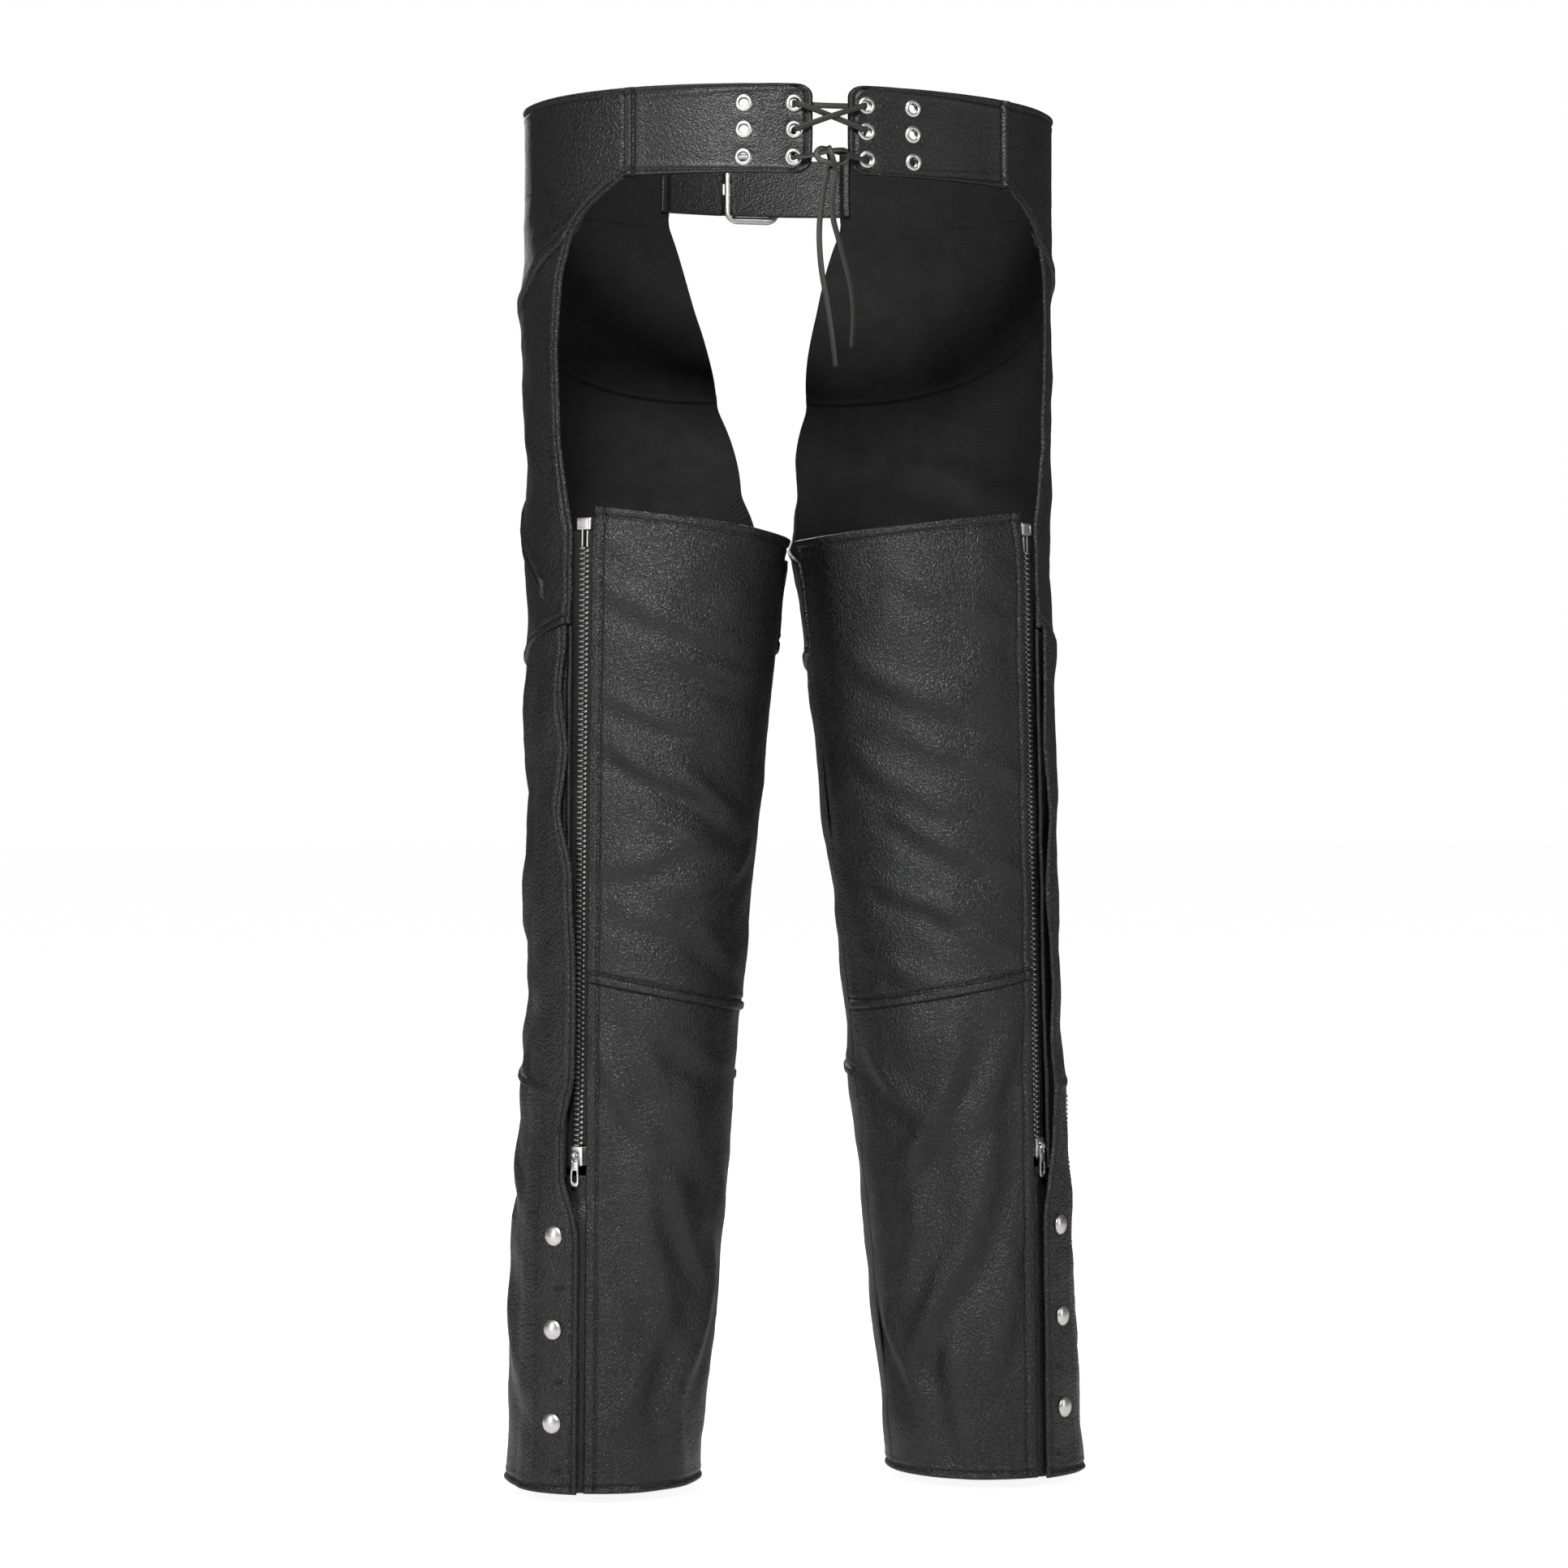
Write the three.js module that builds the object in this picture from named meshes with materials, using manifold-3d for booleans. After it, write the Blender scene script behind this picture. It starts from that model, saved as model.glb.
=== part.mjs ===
// Leather riding chaps with zipped, snap-closed legs and a laced back.
// Millimetres, +Z up. The wearer faces -Y and the wearer's left is +X.
// The origin is the centre of the waist opening at half the belt's height.
import * as THREE from 'three';
import Module from 'manifold-3d';
import { mergeVertices } from 'three/addons/utils/BufferGeometryUtils.js';

// ---- Driving sizes ----
const WAIST_HALF_WIDTH = 200;
const WAIST_HALF_DEPTH = 146;
const HIP_HALF_WIDTH = 101;
const THIGH_HALF_WIDTH = 98;
const KNEE_HALF_WIDTH = 79;
const HEM_HALF_WIDTH = 72;
const THIGH_CENTRE = 101.5;
const KNEE_CENTRE = 122;
const HEM_CENTRE = 147;
const HEM_SETBACK = 20;
const BELT_HEIGHT = 65;
const CROTCH_Z = -284;
const KNEE_Z = -640;
const HEM_Z = -989;
const LEATHER = 2;
const BELT_THICKNESS = 3;
const SEAM_GAP = 0.4;
const FACING_DROP = 6;
const PLACKET_DROP = 40;
const UNDER_LAP_DROP = 16;
const ZIP_TOP = [168.6, 67.9, -277];
const ZIP_LENGTH = 477;
const ZIP_LEAN = [0.0139, 0.0213];
const ZIP_REVEAL = 8;
const TAPE_THICKNESS = 1;
const CHAIN_WIDTH = 8;
const CHAIN_THICKNESS = 4;
const CHAIN_SPLIT = 1.7;
const SLIDER_LENGTH = 14;
const SLIDER_PLATE = 1.5;
const SLIDER_CLEARANCE = 0.4;
const SLIDER_OVERHANG = 3;
const BRIDGE_WIDTH = 3;
const BRIDGE_BAR = 1.3;
const PULL_LENGTH = 24;
const PULL_WIDTH = 8;
const PULL_THICKNESS = 1.6;
const FLAP_WIDTH = 42;
const FLAP_EDGE = 9;
const PLACKET_EDGE = -1;
const FLAP_LIFT = 3.4;
const SNAP_Z = [-802, -870, -938];
const SNAP_INSET = 13.5;
const CAP_RADIUS = 7.5;
const CAP_HEIGHT = 2.8;
const SOCKET_RADIUS = 5;
const SOCKET_THICKNESS = 0.8;
const STUD_PLATE = 0.6;
const POST_RADIUS = 2.2;
const EYELET_RADIUS = 6.5;
const EYELET_BORE = 3.5;
const EYELET_WALL = 0.7;
const HOLE_DEPTH = 12;
const EYELET_ROWS = [18, -1, -21];
const EYELET_COLUMNS = [7.6, 18.1];
const BACK_GAP_ANGLE = 3.7;
const BELT_SEAM_ANGLE = 44.7;
const FRONT_STRAP_ANGLE = 70;
const FRONT_GAP_ANGLE = 7;
const STRAP_OVERRUN_ANGLE = 5;
const STRAP_INSET = 10;
const INSEAM_SETBACK = 10;
const LACE_RADIUS = 1.4;
const KNOT_SIZE = [26, 17, 9];
const BUCKLE_SIZE = [44, 56, 3.5];
const BUCKLE_BAR = 6;
const WELT_WIDTH = 15;
const WELT_START = { angle: -24, z: -255 };
const WELT_END = { angle: 22, z: -330 };

// Running gap between neighbours, in mm, and the gaps at sewn edges, in degrees round the body.
const RUN = 0.3;
const BELT_SEAM_GAP = 0.3;
const BELT_SEAM_START = 0.05;
const STRAP_SEAM_GAP = 0.15;
const INSEAM_GAP = 0.3;
const FLAP_ROOT_GAP = 0.9;
const FACING_START = 0.6;
const UNDER_LAP_START = 1;
const ARCH_FOOT = ZIP_TOP[2] - 8;
const FRONT_FOOT = CROTCH_Z - 20;
const HALF_BELT = BELT_HEIGHT / 2;
const DEGREE = Math.PI / 180;

// ---- The body that the leather is shaped to: an ellipse at every height ----
// Straight interpolation through (height, value) pairs, given from the top down.
function along(pairs, z) {
  if (z >= pairs[0][0]) return pairs[0][1];
  for (let i = 1; i < pairs.length; i += 1) {
    const [low, value] = pairs[i];
    const [high, before] = pairs[i - 1];
    if (z >= low) {
      const part = (high - z) / (high - low);
      return before + (value - before) * part;
    }
  }
  return pairs[pairs.length - 1][1];
}

const zipX = (z) => ZIP_TOP[0] + ZIP_LEAN[0] * (ZIP_TOP[2] - z);
const zipY = (z) => ZIP_TOP[1] + ZIP_LEAN[1] * (ZIP_TOP[2] - z);

// Centre, half width, half depth and set-back of the outline at a height. On the leg the
// half depth is the one that brings the outline onto the straight line of the zip.
function outline(z) {
  const centre = along([
    [-HALF_BELT, 0], [-150, THIGH_CENTRE * 0.42], [CROTCH_Z, THIGH_CENTRE],
    [KNEE_Z, KNEE_CENTRE], [HEM_Z, HEM_CENTRE],
  ], z);
  const width = along([
    [-HALF_BELT, WAIST_HALF_WIDTH], [-150, HIP_HALF_WIDTH + THIGH_HALF_WIDTH - THIGH_CENTRE * 0.42 + 3],
    [CROTCH_Z, THIGH_HALF_WIDTH], [-432, (THIGH_HALF_WIDTH + KNEE_HALF_WIDTH) / 2 + 1],
    [KNEE_Z, KNEE_HALF_WIDTH], [-760, KNEE_HALF_WIDTH], [HEM_Z, HEM_HALF_WIDTH],
  ], z);
  const setback = along([[CROTCH_Z, 0], [HEM_Z, HEM_SETBACK]], z);
  const legZ = Math.min(z, ZIP_TOP[2]);
  const legCentre = along([[CROTCH_Z, THIGH_CENTRE], [KNEE_Z, KNEE_CENTRE], [HEM_Z, HEM_CENTRE]], legZ);
  const legWidth = z < ZIP_TOP[2] ? width : THIGH_HALF_WIDTH;
  const share = (zipX(legZ) - legCentre) / legWidth;
  const legDepth = (zipY(legZ) - setback) / Math.sqrt(1 - share * share);
  const blend = THREE.MathUtils.smoothstep(z, ZIP_TOP[2], -HALF_BELT);
  return { centre, width, depth: legDepth + (WAIST_HALF_DEPTH - legDepth) * blend, setback };
}

// A point of the outline: angle 0 is the outer side, 90 the back, -90 the front, 180 the inside.
function onBody(angle, z, offset) {
  const { centre, width, depth, setback } = outline(z);
  const across = Math.cos(angle * DEGREE);
  const back = Math.sin(angle * DEGREE);
  const normal = new THREE.Vector2(across / width, back / depth).normalize();
  return new THREE.Vector3(
    centre + width * across + offset * normal.x,
    setback + depth * back + offset * normal.y,
    z,
  );
}

// The angle that lies a distance round the outline from the zip's line, positive to the back.
function besideZip(z, distance) {
  const { centre, width, depth, setback } = outline(z);
  const start = Math.atan2((zipY(z) - setback) / depth, (zipX(z) - centre) / width);
  const reach = Math.hypot(width * Math.sin(start), depth * Math.cos(start));
  return (start + distance / reach) / DEGREE;
}

const inseam = (z) => 180 - Math.asin(INSEAM_SETBACK / outline(z).depth) / DEGREE;
const flapBase = (z) => besideZip(z, -FLAP_EDGE - FLAP_WIDTH);
const zipFoot = ZIP_TOP[2] - ZIP_LENGTH;
const facingFoot = zipFoot - FACING_DROP;
// The flap's free edge stops short of the zip's teeth and covers the placket below them.
const placketTop = zipFoot - PLACKET_DROP;
const flapCover = [[facingFoot, FLAP_EDGE], [placketTop, PLACKET_EDGE]];
const flapEdge = (z) => besideZip(z, -along(flapCover, z));

// ---- Solids ----
// A curved plate between two layers of a grid. place(u, v, layer) gives its points, u runs
// from 0 to 1 with growing angle, v from 0 at the top to 1 at the bottom, layer is 0 or 1.
function plate(columns, rows, place) {
  const points = [];
  const faces = [];
  const at = (i, j, k) => (j * (columns + 1) + i) * 2 + k;
  for (let j = 0; j <= rows; j += 1) {
    for (let i = 0; i <= columns; i += 1) {
      for (const layer of [0, 1]) points.push(...place(i / columns, j / rows, layer).toArray());
    }
  }
  const quad = (a, b, c, d) => faces.push(a, b, c, a, c, d);
  for (let j = 0; j < rows; j += 1) {
    for (let i = 0; i < columns; i += 1) {
      quad(at(i, j, 1), at(i, j + 1, 1), at(i + 1, j + 1, 1), at(i + 1, j, 1));
      quad(at(i, j, 0), at(i + 1, j, 0), at(i + 1, j + 1, 0), at(i, j + 1, 0));
    }
    quad(at(0, j, 0), at(0, j + 1, 0), at(0, j + 1, 1), at(0, j, 1));
    quad(at(columns, j, 1), at(columns, j + 1, 1), at(columns, j + 1, 0), at(columns, j, 0));
  }
  for (let i = 0; i < columns; i += 1) {
    quad(at(i, 0, 1), at(i + 1, 0, 1), at(i + 1, 0, 0), at(i, 0, 0));
    quad(at(i, rows, 0), at(i + 1, rows, 0), at(i + 1, rows, 1), at(i, rows, 1));
  }
  const geometry = new THREE.BufferGeometry();
  geometry.setAttribute('position', new THREE.Float32BufferAttribute(points, 3));
  geometry.setIndex(faces);
  return geometry;
}

// A seam is where the leather meets a slanted plane: a height at the origin, its rise along
// X and along Y. Two panels that end on one plane, a gap apart, meet all along the seam.
const level = (z) => ({ z, x: 0, y: 0 });
const below = (seam, gap) => ({ ...seam, z: seam.z - gap });

function heightOnSeam(seam, angleAt) {
  let z = seam.z;
  for (let turn = 0; turn < 12; turn += 1) {
    const point = onBody(angleAt(z), z, 0);
    z = seam.z + seam.x * point.x + seam.y * point.y;
  }
  return z;
}

// A plate on the body between two angles, which may change with height, and two seams.
function panel({ columns, rows, from, to, top, bottom, inner = -LEATHER / 2, outer = LEATHER / 2 }) {
  return plate(columns, rows, (u, v, layer) => {
    const angleAt = (height) => from(height) + (to(height) - from(height)) * u;
    const high = heightOnSeam(top, angleAt);
    const z = high + (heightOnSeam(bottom, angleAt) - high) * v;
    return onBody(angleAt(z), z, layer ? outer : inner);
  });
}

const wasm = await Module();
wasm.setup();

function toSolid(geometry) {
  const bare = geometry.clone();
  bare.deleteAttribute('normal');
  bare.deleteAttribute('uv');
  const merged = mergeVertices(bare, 1e-4);
  return new wasm.Manifold(new wasm.Mesh({
    numProp: 3,
    vertProperties: merged.attributes.position.array,
    triVerts: new Uint32Array(merged.index.array),
  }));
}

function toGeometry(solid) {
  const mesh = solid.getMesh();
  const geometry = new THREE.BufferGeometry();
  geometry.setAttribute('position', new THREE.BufferAttribute(mesh.vertProperties, 3));
  geometry.setIndex(new THREE.BufferAttribute(mesh.triVerts, 1));
  return geometry;
}

const joined = (first, ...others) => toGeometry(
  others.reduce((sum, other) => sum.add(toSolid(other)), toSolid(first)),
);
const cutBy = (first, ...tools) => toGeometry(
  tools.reduce((rest, tool) => rest.subtract(toSolid(tool)), toSolid(first)),
);

// A frame at a point of the body: x along the outline to the back, y up, z outwards.
function frameAt(angle, z, offset) {
  const origin = onBody(angle, z, offset);
  const outward = onBody(angle, z, offset + 1).sub(origin).normalize();
  const up = new THREE.Vector3(0, 0, 1);
  const round = new THREE.Vector3().crossVectors(up, outward).normalize();
  return new THREE.Matrix4().makeBasis(round, up, outward).setPosition(origin);
}

// A turned piece whose axis is z, from (radius, height) pairs in order.
function turned(profile, sides) {
  const geometry = new THREE.LatheGeometry(profile.map(([r, h]) => new THREE.Vector2(r, h)), sides);
  geometry.rotateX(Math.PI / 2);
  return geometry;
}

const box = (w, h, d, x, y, z) => new THREE.BoxGeometry(w, h, d).translate(x, y, z);

// ---- Materials ----
const finish = (color, roughness, metalness) => (
  new THREE.MeshStandardMaterial({ color, roughness, metalness })
);
const leather = finish(0x191919, 0.55, 0);
const tapeBlack = finish(0x0b0b0c, 0.9, 0);
const nickel = finish(0xc4c4c2, 0.25, 1);
const laceLeather = finish(0x262626, 0.6, 0);

const chaps = new THREE.Group();

function add(group, name, geometry, material, matrix) {
  const mesh = new THREE.Mesh(geometry, material);
  mesh.name = name;
  if (matrix) mesh.applyMatrix4(matrix);
  group.add(mesh);
}

// ---- Seams of one side ----
const YOKE_SEAM = { z: -112, x: 0, y: 0.57 };
const UPPER_SEAM = { z: -376, x: 0, y: 0.33 };
const LOWER_SEAM = { z: -692, x: 0, y: -0.16 };
const KNEE_SEAM = { z: -651, x: 0.2, y: 0 };
const BACK_TOP = { z: -289, x: 0.13, y: 0 };

// Back edge of the hip leather, which sweeps from the belt down to the flap's edge.
const archEdge = (z) => along([
  [-HALF_BELT, 90 - BELT_SEAM_ANGLE - BELT_SEAM_GAP], [-46, 38], [-58, 33], [-72, 29.5], [-100, 26.5],
  [-153, 26.5], [-220, 31], [ARCH_FOOT, flapEdge(ARCH_FOOT)],
], z);
// Front edge of the hip leather, which sweeps from the strap down to the inseam.
const frontEdge = (z) => along([
  [-HALF_BELT, -FRONT_STRAP_ANGLE], [-100, -82], [-180, -98], [-250, -124],
  [-290, -152], [FRONT_FOOT, inseam(CROTCH_Z) - 360 + SEAM_GAP],
], z);
const flapTop = below(UPPER_SEAM, SEAM_GAP);
const beltSeam = 90 - BELT_SEAM_ANGLE;

// The thigh panel ends at the arch and the flap's line, the panels below it at the flap's base.
const thighBack = (z) => (z > ARCH_FOOT ? archEdge(z) : flapEdge(z));
const frontPanelBack = (z) => flapBase(z) - FLAP_ROOT_GAP;
const frontPanelFront = (z) => (z > FRONT_FOOT ? frontEdge(z) : inseam(z) - 360 + SEAM_GAP);

function addFront(group, tag) {
  const beltEdge = () => beltSeam - BELT_SEAM_GAP;
  const yokeTop = toSolid(panel({
    columns: 15, rows: 1,
    from: () => frontEdge(-HALF_BELT), to: beltEdge,
    top: level(HALF_BELT), bottom: level(-HALF_BELT),
    inner: -BELT_THICKNESS / 2, outer: BELT_THICKNESS / 2,
  }));
  const yokeSkirt = toSolid(panel({
    columns: 15, rows: 3, from: frontEdge, to: archEdge,
    top: level(-HALF_BELT + 1), bottom: YOKE_SEAM,
  }));
  add(group, `hip_yoke_${tag}`, toGeometry(yokeTop.add(yokeSkirt)), leather);

  add(group, `thigh_front_${tag}`, panel({
    columns: 15, rows: 8, from: frontPanelFront, to: thighBack,
    top: below(YOKE_SEAM, SEAM_GAP), bottom: UPPER_SEAM,
  }), leather);

  const lowerPanel = (top, bottom) => panel({
    columns: 15, rows: 5, from: frontPanelFront, to: frontPanelBack, top, bottom,
  });
  add(group, `shin_front_${tag}`, lowerPanel(flapTop, LOWER_SEAM), leather);
  add(group, `hem_front_${tag}`, lowerPanel(below(LOWER_SEAM, SEAM_GAP), level(HEM_Z)), leather);

  // The strip that carries the front half of the zip, under the flap.
  add(group, `zip_facing_${tag}`, panel({
    columns: 3, rows: 7,
    from: (z) => flapBase(z) + FACING_START, to: (z) => besideZip(z, -ZIP_REVEAL),
    top: flapTop, bottom: level(facingFoot),
  }), leather);
}

function addBack(group, tag) {
  const backPanel = (top, bottom, columns, rows) => panel({
    columns, rows, from: (z) => besideZip(z, ZIP_REVEAL), to: (z) => inseam(z) - INSEAM_GAP, top, bottom,
  });
  add(group, `back_upper_${tag}`, backPanel(BACK_TOP, KNEE_SEAM, 12, 5), leather);
  const lower = toSolid(backPanel(below(KNEE_SEAM, SEAM_GAP), level(HEM_Z), 12, 5));
  // The under-lap below the zip, which carries the studs.
  const underLap = toSolid(panel({
    columns: 4, rows: 3, from: (z) => flapBase(z) + UNDER_LAP_START, to: (z) => besideZip(z, ZIP_REVEAL + 2),
    top: level(zipFoot - UNDER_LAP_DROP), bottom: level(HEM_Z),
  }));
  add(group, `back_lower_${tag}`, toGeometry(lower.add(underLap)), leather);
}

// ---- Storm flap with its snaps ----
const flapInner = (u) => LEATHER / 2 + 2 * RUN + FLAP_LIFT * Math.min(1, u * 2);

function addFlap(group, tag) {
  const angleAt = (z, u) => {
    const base = flapBase(z);
    return base + (flapEdge(z) - base) * u;
  };
  const flap = plate(4, 12, (u, v, layer) => {
    const high = heightOnSeam(flapTop, (height) => angleAt(height, u));
    const z = high + (HEM_Z - high) * v;
    return onBody(angleAt(z, u), z, flapInner(u) + layer * LEATHER);
  });
  const seats = SNAP_Z.map((z) => frameAt(besideZip(z, -SNAP_INSET), z, 0));
  const hole = new THREE.CylinderGeometry(POST_RADIUS + RUN, POST_RADIUS + RUN, 30, 8).rotateX(Math.PI / 2);
  add(group, `storm_flap_${tag}`, cutBy(flap, ...seats.map((m) => hole.clone().applyMatrix4(m))), leather);

  const seatHeight = flapInner(1);
  const capUnder = seatHeight + LEATHER + 3 * RUN;
  const socketTop = seatHeight - 3 * RUN;
  const studBase = LEATHER / 2 + 2 * RUN;
  const cap = turned([
    [0, socketTop - 0.2], [POST_RADIUS + 0.6, socketTop - 0.2],
    [POST_RADIUS + 0.6, socketTop - SOCKET_THICKNESS], [SOCKET_RADIUS, socketTop - SOCKET_THICKNESS],
    [SOCKET_RADIUS, socketTop], [POST_RADIUS, socketTop], [POST_RADIUS, capUnder],
    [CAP_RADIUS, capUnder + RUN], [CAP_RADIUS * 0.8, capUnder + 0.7 * CAP_HEIGHT + 0.04],
    [0, capUnder + CAP_HEIGHT],
  ], 10);
  const stud = turned([
    [0, studBase], [SOCKET_RADIUS, studBase], [SOCKET_RADIUS, studBase + STUD_PLATE],
    [POST_RADIUS, studBase + STUD_PLATE], [POST_RADIUS, studBase + 2 * STUD_PLATE],
    [0, studBase + 2 * STUD_PLATE],
  ], 10);
  seats.forEach((seat, i) => {
    add(group, `snap_cap_${tag}_${i + 1}`, cap.clone(), nickel, seat);
    add(group, `snap_stud_${tag}_${i + 1}`, stud.clone(), nickel, seat);
  });
}

// ---- Zip, built upright in its own frame: x to the back, y up along the zip, z outwards ----
function zipFrame() {
  const start = new THREE.Vector3(...ZIP_TOP);
  const down = new THREE.Vector3(ZIP_LEAN[0], ZIP_LEAN[1], -1).normalize();
  const up = down.clone().negate();
  const middleZ = ZIP_TOP[2] - ZIP_LENGTH / 2;
  const angle = besideZip(middleZ, 0);
  const outward = onBody(angle, middleZ, 1).sub(onBody(angle, middleZ, 0));
  outward.addScaledVector(up, -outward.dot(up)).normalize();
  const back = new THREE.Vector3().crossVectors(up, outward).normalize();
  return new THREE.Matrix4().makeBasis(back, up, outward).setPosition(start);
}

const BOX_WIDTH = 13;
const BOX_HEIGHT = 9;
const BOX_DEPTH = 5.4;
const PIN_LENGTH = 11;
const PIN_SIDE = 1.8;
const TAPE_REACH = 9.5;
const CHAIN_MIDDLE = -3.8;
const CHAIN_START = -(BOX_HEIGHT + PIN_LENGTH + 1);
const sliderRestY = -(ZIP_LENGTH - SLIDER_LENGTH / 2 - 3);
const PULL_AXIS_HEIGHT = CHAIN_MIDDLE + CHAIN_THICKNESS / 2 + SLIDER_CLEARANCE + SLIDER_PLATE + 1.4;
const PULL_AXIS_Y = sliderRestY + 1;

function addZip(group, tag) {
  const seat = zipFrame();
  const beadWidth = (CHAIN_WIDTH - CHAIN_SPLIT) / 2;
  const beadX = CHAIN_SPLIT / 2 + beadWidth / 2;
  const tapeX = CHAIN_SPLIT / 2 + TAPE_REACH / 2;
  const strip = (side, topY, bottomY) => joined(
    box(TAPE_REACH, topY - bottomY, TAPE_THICKNESS, side * tapeX, (topY + bottomY) / 2, CHAIN_MIDDLE),
    box(beadWidth, CHAIN_START - bottomY, CHAIN_THICKNESS, side * beadX,
      (CHAIN_START + bottomY) / 2, CHAIN_MIDDLE),
  );
  const frontHalf = strip(-1, -BOX_HEIGHT - RUN, -ZIP_LENGTH);
  add(group, `zip_front_${tag}`, frontHalf, tapeBlack, seat);

  // The back half stops above the parked slider. Its pin reaches up to just under the box.
  const backBottom = sliderRestY + SLIDER_LENGTH / 2 + 1;
  const pinMiddle = -(BOX_HEIGHT + PIN_LENGTH / 2 + 1);
  const pin = box(PIN_SIDE, PIN_LENGTH + 1, PIN_SIDE, beadX, pinMiddle, CHAIN_MIDDLE);
  const backHalf = joined(strip(1, -BOX_HEIGHT - RUN - 0.5, backBottom), pin);
  add(group, `zip_back_${tag}`, backHalf, tapeBlack, seat);

  const boxBody = box(BOX_WIDTH, BOX_HEIGHT, BOX_DEPTH, 0, -BOX_HEIGHT / 2, CHAIN_MIDDLE);
  add(group, `zip_box_${tag}`, boxBody, nickel, seat);

  const plateZ = CHAIN_THICKNESS / 2 + SLIDER_CLEARANCE + SLIDER_PLATE / 2;
  const wide = CHAIN_WIDTH + SLIDER_OVERHANG;
  const bridgeLeg = (y) => box(BRIDGE_WIDTH, BRIDGE_BAR, 4.2, 0, y, plateZ + SLIDER_PLATE / 2 + 2.0);
  const slider = joined(
    box(wide, SLIDER_LENGTH, SLIDER_PLATE, 0, 0, plateZ),
    box(wide, SLIDER_LENGTH, SLIDER_PLATE, 0, 0, -plateZ),
    box(CHAIN_SPLIT - 2 * RUN, SLIDER_LENGTH, 2 * plateZ, 0, 0, 0),
    bridgeLeg(1 + 2.2), bridgeLeg(1 - 2.2),
    box(BRIDGE_WIDTH, 5.7, BRIDGE_BAR, 0, 1, plateZ + SLIDER_PLATE / 2 + 3.5),
  );
  slider.translate(0, sliderRestY, CHAIN_MIDDLE);
  add(group, `zip_slider_${tag}`, slider, nickel, seat);

  const pull = cutBy(
    box(PULL_WIDTH, PULL_LENGTH, PULL_THICKNESS, 0, (PULL_THICKNESS - PULL_LENGTH) / 2, 0),
    box(4.2, 4.2, 5, 0, -3, 0),
    box(4, 9, 5, 0, -PULL_LENGTH + 8, 0),
  );
  pull.translate(0, PULL_AXIS_Y, PULL_AXIS_HEIGHT);
  add(group, `zip_pull_${tag}`, pull, nickel, seat);
}

// ---- Belt halves with their eyelets, front straps ----
function addBelt(group, tag) {
  const back = panel({
    columns: 10, rows: 1,
    from: () => beltSeam + BELT_SEAM_START, to: () => 90 - BACK_GAP_ANGLE,
    top: level(HALF_BELT), bottom: level(-HALF_BELT),
    inner: -BELT_THICKNESS / 2, outer: BELT_THICKNESS / 2,
  });
  const seats = EYELET_COLUMNS.flatMap((angle) => EYELET_ROWS.map((z) => frameAt(90 - angle, z, 0)));
  const holeRadius = EYELET_BORE + EYELET_WALL + 0.4;
  const hole = new THREE.CylinderGeometry(holeRadius, holeRadius, HOLE_DEPTH, 10).rotateX(Math.PI / 2);
  const tools = seats.map((m) => hole.clone().applyMatrix4(m));
  add(group, `back_belt_${tag}`, cutBy(back, ...tools), leather);

  const face = BELT_THICKNESS / 2 + 0.5;
  const eyelet = turned([
    [EYELET_BORE, -face - EYELET_WALL], [EYELET_RADIUS, -face - EYELET_WALL], [EYELET_RADIUS, -face],
    [EYELET_BORE + EYELET_WALL, -face], [EYELET_BORE + EYELET_WALL, face], [EYELET_RADIUS, face],
    [EYELET_BORE, face + EYELET_WALL + 0.1], [EYELET_BORE, -face - EYELET_WALL],
  ], 10);
  seats.forEach((seat, i) => add(group, `eyelet_${tag}_${i + 1}`, eyelet.clone(), nickel, seat));

  // The right strap runs past the middle and under the buckle.
  const strapEnd = tag === 'L' ? -90 + FRONT_GAP_ANGLE : -90 - STRAP_OVERRUN_ANGLE;
  add(group, `front_strap_${tag}`, panel({
    columns: 6, rows: 1,
    from: () => strapEnd, to: () => frontEdge(-HALF_BELT) - STRAP_SEAM_GAP,
    top: level(HALF_BELT - STRAP_INSET), bottom: level(-HALF_BELT + STRAP_INSET),
    inner: -BELT_THICKNESS / 2, outer: BELT_THICKNESS / 2,
  }), leather);
}

// ---- Lace, which closes the back, and its two hanging ends ----
// A round cord through a list of points.
function cord(points, steps, radius) {
  const path = new THREE.CatmullRomCurve3(points.map((p) => new THREE.Vector3(...p)));
  const section = new THREE.Shape().absarc(0, 0, radius, 0, 2 * Math.PI);
  return new THREE.ExtrudeGeometry(section, { steps, extrudePath: path, curveSegments: 2 });
}

const LACE_LEFT_END = [
  [3.6, 153, -31], [6.5, 153, -45], [9, 153, -64], [9.6, 153, -78], [9, 153, -92],
  [7.4, 153, -106], [4.8, 153, -120], [1.8, 153, -138], [-0.6, 153, -156], [-2.3, 153, -172],
];
const LACE_RIGHT_END = [
  [-2.3, 156, -31], [-0.2, 156, -42], [1, 156.5, -54], [0, 157, -67], [-3.5, 157, -80],
  [-7.4, 156.5, -94], [-11.3, 156, -108], [-14.2, 155.5, -124], [-14.8, 155, -140], [-13.6, 155, -158],
];

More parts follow.
